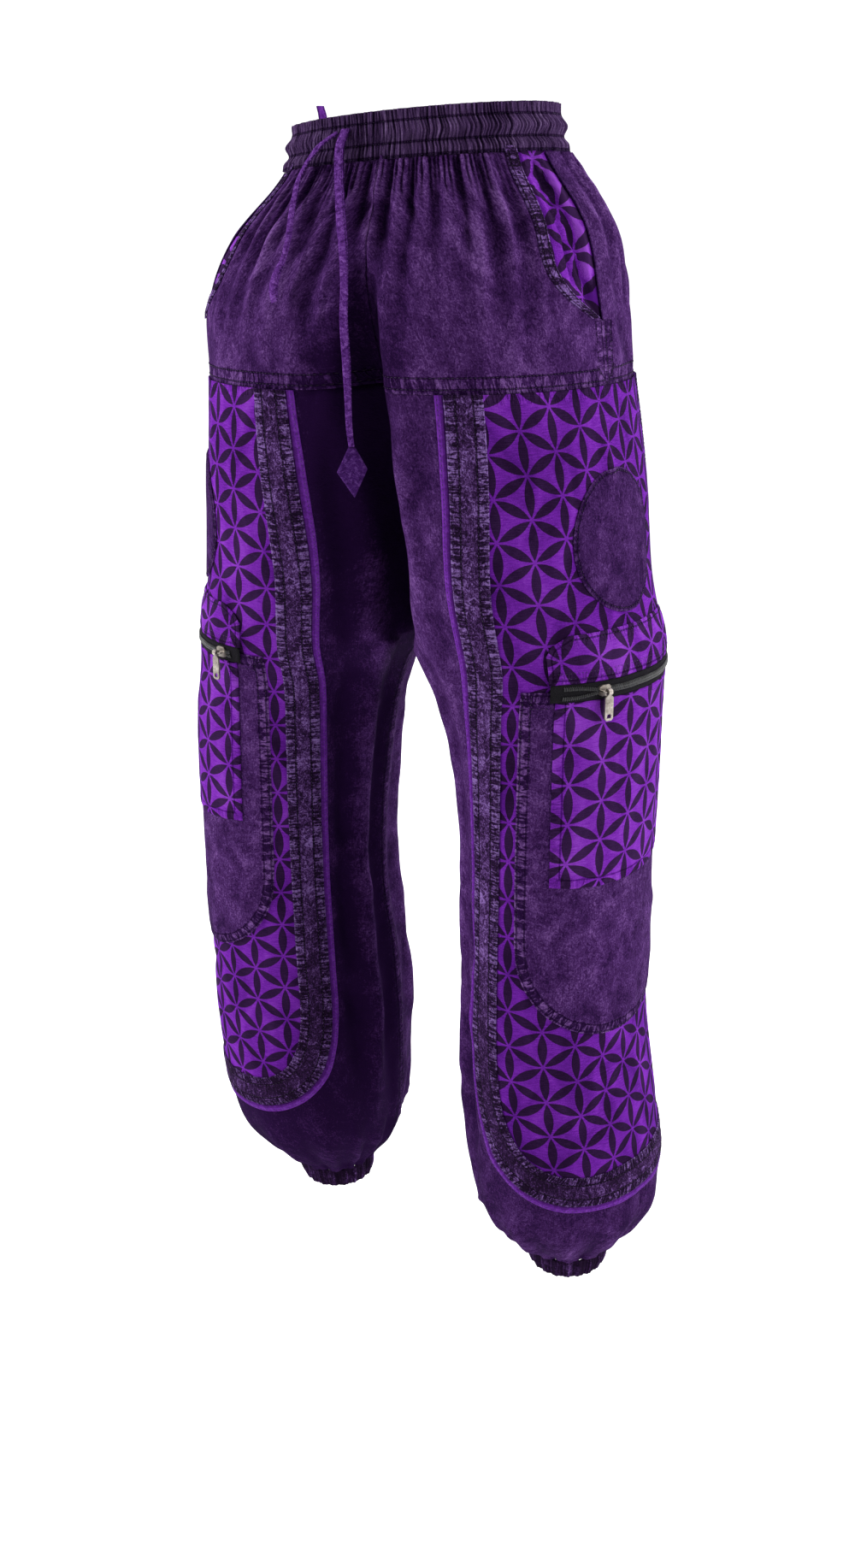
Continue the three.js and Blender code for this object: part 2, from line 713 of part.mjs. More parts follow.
for (const side of SIDES) {
  const leg = lattice(
    LEG_ROWS,
    (z) => legWidths(side, z),
    (z, width, column) => clothPoint(side, z, width, legPush(side, z, width, column)),
    { sign: side.sign, joined: (z) => z < CROTCH, flat: (j) => j === 0 },
  );
  const yoke = lattice(
    YOKE_ROWS,
    (z) => yokeWidths(side, z),
    (z, width, column) => clothPoint(side, z, width, yokePush(z, width, column)),
    { sign: side.sign, joined: () => false, flat: (j, count) => j === 0 || j === count - 1 },
  );
  const put = (part, rows, patch, inner, outer, colour) =>
    add(`${part}_${side.name}`, clothWall(rows, patch, inner, outer, side.sign), colour);

  // Leg front and leg back: they meet at the inner seam and, below the panel, at the side line.
  const cutEnd = LEG_CUTOUT.corner[LEG_CUTOUT.corner.length - 1].z;
  const legHalf = (front) =>
    clothPatch(leg, LEG_ROWS, (upper, lower) => {
      const edge = (z) => (front ? ringAt(side, z).front : -ringAt(side, z).behind);
      const above = lower > cutEnd - 0.01;
      const sideEdge = (z) => (above ? halfAt(LEG_CUTOUT, z) : SEAM / 2) * (front ? 1 : -1);
      const stretch = (z) => (front ? [edge(z), sideEdge(z)] : [sideEdge(z), edge(z)]);
      return [{ upper: stretch(upper), lower: stretch(lower) }];
    });
  put('leg_front', leg, legHalf(true), -CLOTH, 0, PLAIN_COLOUR);
  put('leg_back', leg, legHalf(false), -CLOTH, 0, PLAIN_COLOUR);

  // Printed side panel, its dark border, and the bright trim round the border.
  const panelTop = LIFT + APPLIED;
  put('side_panel', leg, sidePatch(leg, PANEL_OUTLINE), LIFT, panelTop, PRINT_COLOUR);
  const second = panelTop + LIFT;
  put('border_band', leg, sidePatch(leg, BAND_OUTER, BAND_INNER), second, second + APPLIED, SHADE_COLOUR);
  put('edge_trim', leg, sidePatch(leg, TRIM_OUTER, BAND_OUTER, SEAM), LIFT, LIFT + 1.6, TRIM_COLOUR);

  // Round patch, plain pocket, printed pocket with its flap, and the zip between them.
  put('round_patch', leg, sidePatch(leg, ROUND_PATCH), second, second + APPLIED, PLAIN_COLOUR);
  const bulge = (z, width) => {
    const across = clamp(1 - (width / BIG_POCKET_HALF) ** 2, 0, 1);
    const down = clamp((-z - 405) / 90, 0, 1) * clamp((z + 680) / 40, 0, 1);
    return 3 * across * down;
  };
  const bigIn = (z, width) => second + bulge(z, width);
  const bigOut = (z, width) => bigIn(z, width) + APPLIED;
  put('plain_pocket', leg, sidePatch(leg, BIG_POCKET), bigIn, bigOut, PLAIN_COLOUR);
  const third = second + APPLIED + LIFT;
  const printIn = (z, width) => third + bulge(z, width);
  const printOut = (z, width) => printIn(z, width) + APPLIED;
  put('print_pocket', leg, sidePatch(leg, PRINT_POCKET), printIn, printOut, PRINT_COLOUR);
  put('pocket_flap', leg, sidePatch(leg, FLAP), second, third + APPLIED, PRINT_COLOUR);
  put('zip_tape', leg, sidePatch(leg, ZIP_TAPE), third, third + 0.8, TAPE_COLOUR);

  // Yoke front and back with the hip pocket's opening at the side.
  const openEnd = POCKET_OPENING[POCKET_OPENING.length - 1].z;
  const openRows = YOKE_ROWS.filter((z) => z > openEnd - 0.01);
  const frontEdge = (z) => linear(POCKET_OPENING, z, 'front');
  const backEdge = (z) => linear(POCKET_OPENING, z, 'behind');
  const across = (heights, edges) => {
    const all = [...heights];
    for (const edge of edges) {
      for (const z of crossings((height) => yokeWidths(side, height), edge, openRows)) {
        if (!all.some((height) => Math.abs(height - z) < 1)) all.push(z);
      }
    }
    return all.sort((a, b) => b - a);
  };
  const yokeHalf = (front) =>
    clothPatch(yoke, front ? across(YOKE_ROWS, [frontEdge]) : YOKE_ROWS, (upper, lower) => {
      const edge = (z) => (front ? ringAt(side, z).front : -ringAt(side, z).behind);
      const open = lower > openEnd - 0.01;
      const seam = (z) => {
        if (!open) return YOKE_SIDE_SEAM + (front ? SEAM / 2 : -SEAM / 2);
        return linear(POCKET_OPENING, z, front ? 'front' : 'behind');
      };
      const stretch = (z) => (front ? [edge(z), seam(z)] : [seam(z), edge(z)]);
      return [{ upper: stretch(upper), lower: stretch(lower) }];
    });
  put('yoke_front', yoke, yokeHalf(true), -CLOTH, 0, PLAIN_COLOUR);
  put('yoke_back', yoke, yokeHalf(false), -CLOTH, 0, PLAIN_COLOUR);
  const strip = (from, to, edges) =>
    clothPatch(yoke, across(openRows, edges), (upper, lower) => [
      { upper: [from(upper), to(upper)], lower: [from(lower), to(lower)] },
    ]);
  const facing = strip((z) => frontEdge(z) + FACING_UNDERLAP, (z) => backEdge(z) - FACING_UNDERLAP, []);
  const facingTop = (z, width) => {
    const inward = clamp((frontEdge(z) - width) / (frontEdge(z) - backEdge(z)), 0, 1);
    const down = clamp((z + 141) / 30, 0, 1) * clamp((YOKE_TOP - z) / 20, 0, 1);
    return -CLOTH - 2 * LIFT - FACING_DEPTH * down * Math.sin(Math.PI * inward ** 1.5);
  };
  put('pocket_facing', yoke, facing, (z, w) => facingTop(z, w) - APPLIED, facingTop, PRINT_COLOUR);
  const weltEdge = (z) => frontEdge(z) + WELT_WIDTH;
  const welt = strip(weltEdge, frontEdge, [frontEdge, weltEdge]);
  put('pocket_welt', yoke, welt, LIFT, LIFT + 0.9, SHADE_COLOUR);
}

// The waistband is one gathered tube with three rows of shirring; the middle row is the drawstring channel.
const WAISTBAND_ROWS = [
  { z: 0, puff: 0.3, gather: 0.9, slip: 0 },
  { z: -7.5, puff: -0.6, gather: 0.5, slip: 0.1 },
  { z: -15, puff: 2.6, gather: 1.4, slip: 0.45 },
  { z: -22, puff: -0.6, gather: 0.5, slip: 0.2 },
  { z: -27, puff: 1.5, gather: 1.0, slip: 0.35 },
  { z: -32, puff: 0, gather: 0.9, slip: 0.3 },
];
const waistColumns = 2 * WAISTBAND_GATHERS;
const waistband = lattice(
  WAISTBAND_ROWS.map((row) => row.z),
  () => Array.from({ length: waistColumns + 1 }, (unused, c) => -c),
  (z, place, column) => {
    const row = WAISTBAND_ROWS.find((entry) => entry.z === z);
    const turned = (((column % waistColumns) + row.slip) / waistColumns) * 2;
    const side = turned < 1 ? SIDES[0] : SIDES[1];
    const ring = ringAt(side, z);
    const part = turned < 1 ? turned : 2 - turned;
    const uneven = 0.8 + 0.35 * Math.sin(1.9 * column) * Math.cos(0.7 * column + 1);
    const push = row.puff + row.gather * uneven * Math.cos(Math.PI * column);
    return clothPoint(side, z, ring.front - part * (ring.front + ring.behind), push);
  },
  { sign: 1, joined: () => true, flat: (j, count) => j === 0 || j === count - 1 },
);
const wholeRing = (count) => () => [{ upper: [0, -count], lower: [0, -count] }];
const waistHeights = WAISTBAND_ROWS.map((row) => row.z);
const waistPatch = clothPatch(waistband, waistHeights, wholeRing(waistColumns), waistColumns);
add('waistband', clothWall(waistband, waistPatch, -WAISTBAND_WALL, 0, 1), SHADE_COLOUR);

// Each cuff is a short elastic tube with the blouse of the leg gathered into it.
const CUFF_ROWS = [
  { z: CUFF_TOP - SEAM, puff: -1, gather: 0.6 },
  { z: -925, puff: 0.8, gather: 1.1 },
  { z: CUFF_BOTTOM, puff: 0, gather: 0.8 },
];
const cuffColumns = 2 * CUFF_GATHERS;
for (const side of SIDES) {
  const cuff = lattice(
    CUFF_ROWS.map((row) => row.z),
    () => Array.from({ length: cuffColumns + 1 }, (unused, c) => -c),
    (z, place, column) => {
      const row = CUFF_ROWS.find((entry) => entry.z === z);
      const ring = ringAt(side, z);
      const part = (column % cuffColumns) / cuffColumns;
      const push = row.puff + row.gather * Math.cos(Math.PI * column) * (0.85 + 0.3 * Math.sin(2.1 * column));
      return clothPoint(side, z, ring.front - part * (ring.front + ring.behind), push);
    },
    { sign: side.sign, joined: () => true, flat: () => true },
  );
  const heights = CUFF_ROWS.map((row) => row.z);
  const patch = clothPatch(cuff, heights, wholeRing(cuffColumns), cuffColumns);
  add(`cuff_${side.name}`, clothWall(cuff, patch, -CUFF_WALL, 0, side.sign), SHADE_COLOUR);
}

// A strip with a rectangular section along a path: each station has its place, width, thickness and twist.
function strip(stations, steps) {
  const path = new THREE.CatmullRomCurve3(stations.map(({ x, y, z }) => new THREE.Vector3(x, y, z)));
  const positions = [];
  const faces = [];
  for (let i = 0; i <= steps; i += 1) {
    const t = i / steps;
    const place = t * (stations.length - 1);
    const k = Math.min(Math.floor(place), stations.length - 2);
    const mix = (key) => stations[k][key] + (place - k) * (stations[k + 1][key] - stations[k][key]);
    const point = path.getPoint(t);
    const along = path.getTangent(t);
    const turn = (mix('twist') * Math.PI) / 180;
    const across = new THREE.Vector3(Math.cos(turn), Math.sin(turn), 0);
    across.addScaledVector(along, -across.dot(along)).normalize();
    const out = new THREE.Vector3().crossVectors(along, across).normalize();
    for (const [u, v] of [[-1, -1], [1, -1], [1, 1], [-1, 1]]) {
      const corner = point.clone();
      corner.addScaledVector(across, (u * mix('wide')) / 2).addScaledVector(out, (v * mix('thick')) / 2);
      positions.push(corner.x, corner.y, corner.z);
    }
  }
  for (let i = 0; i < steps; i += 1) {
    for (let k = 0; k < 4; k += 1) {
      const [a, b] = [4 * i + k, 4 * i + ((k + 1) % 4)];
      faces.push([a, b, b + 4], [a, b + 4, a + 4]);
    }
  }
  const end = 4 * steps;
  faces.push([0, 2, 1], [0, 3, 2], [end, end + 1, end + 2], [end, end + 2, end + 3]);
  return meshFrom(positions, faces, 1);
}

// The drawstring leaves the waistband right of the middle. Its long end hangs free in front of the groove
// between the thighs and carries a folded diamond tip; the short end lies on the right front.
const LONG_END = [
  { x: -29.6, y: -79.9, z: -12, wide: 8, thick: 1.5, twist: -12 },
  { x: -30, y: -90, z: -24, wide: 8, thick: 1.5, twist: -12 },
  { x: -25, y: -102.5, z: -50, wide: 8, thick: 1.5, twist: -10 },
  { x: -17, y: -118, z: -73, wide: 7.5, thick: 1.5, twist: 0 },
  { x: -8, y: -134, z: -97, wide: 6, thick: 2, twist: 25 },
  { x: -3, y: -145, z: -117, wide: 5.5, thick: 2.2, twist: 45 },
  { x: -1, y: -151, z: -135, wide: 6, thick: 2, twist: 40 },
  { x: 2, y: -154, z: -166, wide: 6, thick: 2, twist: 20 },
  { x: 3, y: -154.5, z: -189, wide: 5, thick: 2, twist: 25 },
  { x: 3.5, y: -154, z: -211, wide: 4.5, thick: 2, twist: 10 },
  { x: 4.5, y: -153, z: -222, wide: 4, thick: 2, twist: 0 },
];
const SHORT_END = [
  { x: -36.5, y: -79.1, z: -14, wide: 5, thick: 1.5, twist: -20 },
  { x: -46, y: -84, z: -21, wide: 5, thick: 1.5, twist: -30 },
  { x: -56, y: -83, z: -30, wide: 5, thick: 1.5, twist: -30 },
  { x: -62.5, y: -88, z: -43, wide: 5, thick: 1.5, twist: -30 },
  { x: -62, y: -99, z: -58, wide: 5, thick: 1.6, twist: -10 },
  { x: -59.5, y: -111, z: -73, wide: 4.5, thick: 1.8, twist: 0 },
  { x: -57, y: -120.5, z: -85, wide: 4, thick: 2, twist: 15 },
  { x: -57, y: -130, z: -99, wide: 4, thick: 2, twist: 0 },
  { x: -59, y: -135, z: -107, wide: 6, thick: 2.4, twist: -10 },
  { x: -59.5, y: -140.5, z: -117, wide: 7, thick: 2.4, twist: -15 },
  { x: -56.5, y: -145, z: -126, wide: 5.5, thick: 2, twist: -15 },
];
add('drawstring_long', strip(LONG_END, 24), TRIM_COLOUR);
add('drawstring_short', strip(SHORT_END, 22), TRIM_COLOUR);

const TIP_WIDE = 22;
const TIP_LONG = 35;
const TIP_THICK = 2.4;
const tipShape = new THREE.Shape();
tipShape.moveTo(2.4, 0);
tipShape.lineTo(TIP_WIDE / 2, -TIP_LONG * 0.42);
tipShape.lineTo(1.5, -TIP_LONG);
tipShape.lineTo(-TIP_WIDE / 2, -TIP_LONG * 0.5);
tipShape.lineTo(-2.4, 0);
const tip = new THREE.ExtrudeGeometry(tipShape, { depth: TIP_THICK, bevelEnabled: false });
tip.translate(0, 0, -TIP_THICK / 2);
tip.rotateX(Math.PI / 2);
tip.rotateZ(0.2);
tip.translate(4.6, -152.8, -222.2 - SEAM);
add('drawstring_tip', tip, TRIM_COLOUR);

// A short tape tab stands up inside the back of the waistband on the right.
const TAB_STATIONS = [
  { x: -94.7, y: 22, z: -16, wide: 9, thick: 1.2, twist: 70 },
  { x: -95.2, y: 22, z: -6, wide: 9, thick: 1.2, twist: 70 },
  { x: -96.3, y: 22.5, z: 3, wide: 9, thick: 1.2, twist: 70 },
  { x: -98.5, y: 23, z: 10, wide: 8, thick: 1.2, twist: 70 },
];
add('hanging_tab', strip(TAB_STATIONS, 6), TRIM_COLOUR);

// Zip sliders with their pull tabs. Local axes: along the zip towards the front, out of the cloth, and up.
const wasm = await Module();
wasm.setup();

function solidOf(geometry) {
  const flat = (geometry.index ? geometry.toNonIndexed() : geometry).clone();
  flat.deleteAttribute('normal');
  flat.deleteAttribute('uv');
  const merged = mergeVertices(flat, 1e-4);
  const mesh = new wasm.Mesh({
    numProp: 3,
    vertProperties: merged.attributes.position.array,
    triVerts: new Uint32Array(merged.index.array),
  });
  return new wasm.Manifold(mesh);
}

function geometryOf(solid) {
  const mesh = solid.getMesh();
  const positions = [];
  for (let i = 0; i < mesh.numVert; i += 1) {
    for (let k = 0; k < 3; k += 1) positions.push(mesh.vertProperties[i * mesh.numProp + k]);
  }
  const geometry = new THREE.BufferGeometry();
  geometry.setAttribute('position', new THREE.Float32BufferAttribute(positions, 3));
  geometry.setIndex([...mesh.triVerts]);
  return geometry;
}

const drawn = (points) => new THREE.Shape(points.map(([x, y]) => new THREE.Vector2(x, y)));

function circleOf(radius, count) {
  const points = [];
  for (let i = 0; i < count; i += 1) {
    const angle = (2 * Math.PI * i) / count;
    points.push([radius * Math.cos(angle), radius * Math.sin(angle)]);
  }
  return points;
}

function plate(shape, depth, holes = []) {
  for (const hole of holes) shape.holes.push(new THREE.Path(hole.map(([x, y]) => new THREE.Vector2(x, y))));
  return new THREE.ExtrudeGeometry(shape, { depth, bevelEnabled: false });
}

const CROWN_CENTRE = SLIDER_THICK + CROWN_RISE - CROWN_WIRE / 2;

function sliderGeometry() {
  const [l, h] = [SLIDER_LENGTH / 2, SLIDER_HEIGHT / 2];
  const outline = [
    [-l, -h * 0.55], [-l * 0.7, -h], [l * 0.5, -h], [l, -h * 0.7], [l, -h * 0.25], [l * 0.6, 0],
  ];
  const mirrored = outline.slice(0, -1).reverse().map(([x, y]) => [x, -y]);
  const body = plate(drawn([...outline, ...mirrored]), SLIDER_THICK);
  body.rotateX(Math.PI / 2);
  body.translate(0, SLIDER_THICK, 0);
  const c = CROWN_SPAN / 2;
  const top = SLIDER_THICK + CROWN_RISE;
  const arch = [
    [-c, 1], [-c, top - 1.4], [-c + 1.4, top], [c - 1.4, top], [c, top - 1.4], [c, 1],
    [c - CROWN_WIRE, 1], [c - CROWN_WIRE, top - 1.9], [c - 1.9, top - CROWN_WIRE],
    [-c + 1.9, top - CROWN_WIRE], [-c + CROWN_WIRE, top - 1.9], [-c + CROWN_WIRE, 1],
  ];
  const crown = plate(drawn(arch), CROWN_WIRE);
  crown.translate(0, 0, -CROWN_WIRE / 2);
  return geometryOf(solidOf(body).add(solidOf(crown)));
}

function pullTabGeometry() {
  const hole = circleOf(TAB_EYE_INNER, 12).reverse();
  const eye = plate(drawn(circleOf(TAB_EYE_OUTER, 12)), TAB_EYE_WIDTH, [hole]);
  eye.translate(0, 0, -TAB_EYE_WIDTH / 2);
  eye.rotateY(Math.PI / 2);
  const w = TAB_WIDTH / 2;
  const n = TAB_EYE_WIDTH / 2;
  const end = -TAB_LENGTH;
  const outline = [
    [-n, -1.9], [-n, -2.8], [-w + 0.8, -3.6], [-w, -4.6], [-w, end + 1.5], [-w + 1.5, end],
    [w - 1.5, end], [w, end + 1.5], [w, -4.6], [w - 0.8, -3.6], [n, -2.8], [n, -1.9],
  ];
  const slot = [
    [-1.9, end + 1.9], [-1.9, end + 4.2], [-1.2, end + 5], [1.2, end + 5], [1.9, end + 4.2], [1.9, end + 1.9],
  ];
  const leaf = plate(drawn(outline), TAB_THICK, [slot]);
  leaf.translate(0, 0, -TAB_THICK / 2);
  leaf.rotateX(Math.PI / 2);
  return geometryOf(solidOf(eye).add(solidOf(leaf)));
}

for (const side of SIDES) {
  const width = SLIDERS[side.name].place;
  const along = (w, z) => clothPoint(side, z, w, 0);
  const zipHeight = LIFT + APPLIED + LIFT + APPLIED + LIFT + 0.8;
  const middle = (ZIP_TOP + ZIP_BOTTOM) / 2;
  const columns = [27, 53, 80].filter((edge) => Math.abs(edge - width) < 27);
  const [near, far] = [Math.min(...columns), Math.max(...columns)];
  const foot = (w) => along(w, ZIP_TOP).clone().add(along(w, ZIP_BOTTOM)).multiplyScalar(0.5);
  const [start, end] = [foot(near), foot(far)];
  const towardsFront = end.clone().sub(start);
  const place = start.clone().addScaledVector(towardsFront, (width - near) / (far - near));
  towardsFront.z = 0;
  towardsFront.normalize();
  const up = new THREE.Vector3(0, 0, 1);
  const out = new THREE.Vector3().crossVectors(up, towardsFront).multiplyScalar(side.sign);
  if (out.x * side.sign < 0) out.negate();
  place.addScaledVector(out, zipHeight + SLIDERS[side.name].clear);
  place.z = middle;
  const frame = new THREE.Matrix4().makeBasis(towardsFront, out, up).setPosition(place);
  if (frame.determinant() < 0) frame.makeBasis(towardsFront.negate(), out, up).setPosition(place);
  add(`zip_slider_${side.name}`, sliderGeometry().applyMatrix4(frame), STEEL_COLOUR, 0.35, 1);
  const tab = pullTabGeometry().translate(0, CROWN_CENTRE, 0).applyMatrix4(frame);
  add(`pull_tab_${side.name}`, tab, STEEL_COLOUR, 0.35, 1);
}

export default trousers;
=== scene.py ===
import math

import bpy
import numpy as np
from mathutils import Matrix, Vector


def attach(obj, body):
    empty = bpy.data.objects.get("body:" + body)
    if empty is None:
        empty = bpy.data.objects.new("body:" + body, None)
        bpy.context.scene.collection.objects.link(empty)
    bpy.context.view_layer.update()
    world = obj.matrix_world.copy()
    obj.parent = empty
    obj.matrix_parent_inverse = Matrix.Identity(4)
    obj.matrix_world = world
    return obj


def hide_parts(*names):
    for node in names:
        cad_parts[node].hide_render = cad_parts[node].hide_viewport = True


# Harem trousers of stonewashed purple cotton, held open as worn. The pieces are worked out in millimetres and
# become metres when a mesh is made. The front faces -Y and the wearer's left is +X.
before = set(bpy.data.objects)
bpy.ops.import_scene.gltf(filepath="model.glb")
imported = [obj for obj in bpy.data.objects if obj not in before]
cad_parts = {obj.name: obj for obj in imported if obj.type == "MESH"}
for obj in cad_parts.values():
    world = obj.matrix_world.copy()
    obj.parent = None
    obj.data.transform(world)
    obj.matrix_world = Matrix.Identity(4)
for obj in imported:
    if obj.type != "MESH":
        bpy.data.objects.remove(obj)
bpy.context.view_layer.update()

# The camera stands to the wearer's left of the front, level with the waist, and looks down at the knees.
# Its lens is wide enough to take in the whole garment from arm's length.
CAMERA_TURN = math.radians(22.0)
CAMERA_PITCH = math.radians(19.3)
CAMERA_DISTANCE = 1.300
CAMERA_HEIGHT = -0.067
SENSOR = 36
LONG_SIDE_PIXELS = 1834
FOCAL_PIXELS = 1910
towards_camera = Vector((math.sin(CAMERA_TURN), -math.cos(CAMERA_TURN), 0))
looking = -towards_camera * math.cos(CAMERA_PITCH) - Vector((0, 0, math.sin(CAMERA_PITCH)))
camera_data = bpy.data.cameras.new("camera")
camera_data.sensor_width = SENSOR
camera_data.lens = SENSOR * FOCAL_PIXELS / LONG_SIDE_PIXELS
camera = bpy.data.objects.new("camera", camera_data)
camera.location = towards_camera * CAMERA_DISTANCE + Vector((0, 0, CAMERA_HEIGHT))
camera.rotation_mode = "QUATERNION"
camera.rotation_quaternion = looking.to_track_quat("-Z", "Y")
bpy.context.scene.collection.objects.link(camera)
bpy.context.scene.camera = camera

# A white floor below the cuffs, a bright wall behind, a dimmer room in front and a broad lamp at either side, so
# that the space between the legs is lit least, as in a shop's light tent. The backdrop is white from every side.
FLOOR_HEIGHT = -1.06
FLOOR_HALF = 2.6
FLOOR_WHITE = (0.93, 0.93, 0.93, 1)
floor_mesh = bpy.data.meshes.new("floor")
floor_corners = [(x * FLOOR_HALF, y * FLOOR_HALF, 0) for x, y in ((-1, -1), (1, -1), (1, 1), (-1, 1))]
floor_mesh.from_pydata(floor_corners, [], [(0, 1, 2, 3)])
floor = bpy.data.objects.new("floor", floor_mesh)
floor.location = (0, 0, FLOOR_HEIGHT)
bpy.context.scene.collection.objects.link(floor)
floor_material = bpy.data.materials.new("white_floor")
floor_material.use_nodes = True
floor_look = floor_material.node_tree.nodes["Principled BSDF"].inputs
floor_look["Base Color"].default_value = FLOOR_WHITE
floor_look["Roughness"].default_value = 0.7
floor_mesh.materials.append(floor_material)

# light of the room from its front, -Y, to its back wall
ROOM_LIGHT = (("From Min", -0.5), ("From Max", 0.35), ("To Min", 0.08), ("To Max", 1.15))
world = bpy.data.worlds.new("white_room")
world.use_nodes = True
world_nodes, world_links = world.node_tree.nodes, world.node_tree.links
world_nodes["Background"].inputs["Color"].default_value = (1, 1, 1, 1)
direction = world_nodes.new("ShaderNodeTexCoord")
direction_parts = world_nodes.new("ShaderNodeSeparateXYZ")
wall_light = world_nodes.new("ShaderNodeMapRange")
wall_light.interpolation_type = "SMOOTHSTEP"
for key, number in ROOM_LIGHT:
    wall_light.inputs[key].default_value = number
world_links.new(direction.outputs["Generated"], direction_parts.inputs[0])
world_links.new(direction_parts.outputs["Y"], wall_light.inputs["Value"])
seen = world_nodes.new("ShaderNodeLightPath")
brightest = world_nodes.new("ShaderNodeMath")
brightest.operation = "MAXIMUM"
world_links.new(wall_light.outputs["Result"], brightest.inputs[0])
world_links.new(seen.outputs["Is Camera Ray"], brightest.inputs[1])
world_links.new(brightest.outputs[0], world_nodes["Background"].inputs["Strength"])
bpy.context.scene.world = world
bpy.context.scene.view_settings.view_transform = "Standard"

# name, place, what it is aimed at, watts, size in metres
LAMPS = (
    ("right_lamp", (2.4, -0.45, 0.75), (0, 0, -0.45), 38, 1.2),
    ("left_lamp", (-2.25, -1.15, 0.8), (0, 0, -0.45), 74, 1.2),
    ("wall_lamp", (0.3, 2.6, 2.4), (0.3, 2.3, -1.06), 190, 3.6),
)
for name, place, target, watts, size in LAMPS:
    lamp_data = bpy.data.lights.new(name, "AREA")
    lamp_data.energy = watts
    lamp_data.size = size
    lamp = bpy.data.objects.new(name, lamp_data)
    lamp.location = place
    lamp.rotation_mode = "QUATERNION"
    lamp.rotation_quaternion = (Vector(target) - Vector(place)).to_track_quat("-Z", "Y")
    bpy.context.scene.collection.objects.link(lamp)

# The drawstring is a cotton tape folded lengthwise and stitched along its open edge. It leaves the waistband
# right of the middle; the long end hangs in front of the groove between the thighs and the short end lies on
# the right front. Each station: place, width and thickness in millimetres, and the turn of the tape in degrees.
STATION_COLUMNS = "x y z wide thick twist"
LONG_END = (
    (-29.6, -79.9, -12, 8, 1.5, -12),
    (-30, -90, -24, 8, 1.5, -12),
    (-25, -102.5, -50, 8, 1.5, -10),
    (-17, -118, -73, 7.5, 1.5, 0),
    (-8, -134, -97, 6, 2, 25),
    (-3, -145, -117, 5.5, 2.2, 45),
    (-1, -151, -135, 6, 2, 40),
    (2, -154, -166, 6, 2, 20),
    (3, -154.5, -189, 5, 2, 25),
    (3.5, -154, -211, 4.5, 2, 10),
    (4.5, -153, -222, 4, 2, 0),
)
SHORT_END = (
    (-36.5, -79.1, -14, 5, 1.5, -20),
    (-46, -84, -21, 5, 1.5, -30),
    (-56, -83, -30, 5, 1.5, -30),
    (-62.5, -88, -43, 5, 1.5, -30),
    (-62, -99, -58, 5, 1.6, -10),
    (-59.5, -111, -73, 4.5, 1.8, 0),
    (-57, -120.5, -85, 4, 2, 15),
    (-57, -130, -99, 4, 2, 0),
    (-59, -135, -107, 6, 2.4, -10),
    (-59.5, -140.5, -117, 7, 2.4, -15),
    (-56.5, -145, -126, 5.5, 2, -15),
)
# half of the tape's section, from its folded edge over the stitched groove to its open edge
TAPE_SECTION = ((-0.92, 0.8), (-0.6, 1), (0, 0.9), (0.45, 1), (0.62, 0.35), (0.74, 0.85), (0.96, 0.75))
STATION_STEPS = 9


def table(columns, rows):
    return {name: np.array(values, float) for name, values in zip(columns.split(), zip(*rows))}


def curve_through(points, steps):
    """A smooth curve through the points, with a number of steps from each to the next."""
    points = np.array(points, float)
    padded = np.vstack([2 * points[0] - points[1], points, 2 * points[-1] - points[-2]])
    made = []
    for k in range(len(points) - 1):
        p0, p1, p2, p3 = padded[k:k + 4]
        d0, d1, d2 = (max(np.linalg.norm(b - a), 1e-6) ** 0.5 for a, b in ((p0, p1), (p1, p2), (p2, p3)))
        start = ((p1 - p0) / d0 - (p2 - p0) / (d0 + d1) + (p2 - p1) / d1) * d1
        end = ((p2 - p1) / d1 - (p3 - p1) / (d1 + d2) + (p3 - p2) / d2) * d1
        t = (np.arange(steps) / steps)[:, None]
        made.append(p1 * (2 * t ** 3 - 3 * t ** 2 + 1) + p2 * (3 * t ** 2 - 2 * t ** 3)
                    + start * (t ** 3 - 2 * t ** 2 + t) + end * (t ** 3 - t ** 2))
    made.append(points[-1][None])
    return np.vstack(made)


def unit(vectors):
    return vectors / np.maximum(np.linalg.norm(vectors, axis=-1, keepdims=True), 1e-9)


def mesh_object(name, points, faces, marks=None):
    """A smooth mesh from points in millimetres, its faces turned out, with vector attributes by name."""
    used, index = np.unique(np.concatenate([np.ravel(face) for face in faces]), return_inverse=True)
    points = np.asarray(points, float)[used]
    turned, start = [], 0
    for face in faces:
        size = int(np.size(face))
        turned.append(index[start:start + size].reshape(np.shape(face)))
        start += size
    volume = 0.0
    for face in turned:
        for k in range(1, face.shape[1] - 1):
            a, b, c = points[face[:, 0]], points[face[:, k]], points[face[:, k + 1]]
            volume += float((a * np.cross(b, c)).sum())
    if volume < 0:
        turned = [face[:, ::-1] for face in turned]
    mesh = bpy.data.meshes.new(name)
    mesh.from_pydata((points * 0.001).tolist(), [], [row for face in turned for row in face.tolist()])
    mesh.polygons.foreach_set("use_smooth", [True] * len(mesh.polygons))
    for mark, values in (marks or {}).items():
        attribute = mesh.attributes.new(mark, "FLOAT_VECTOR", "POINT")
        attribute.data.foreach_set("vector", np.asarray(values, np.float32)[used].ravel())
    mesh.update()
    made = bpy.data.objects.new(name, mesh)
    bpy.context.scene.collection.objects.link(made)
    return made


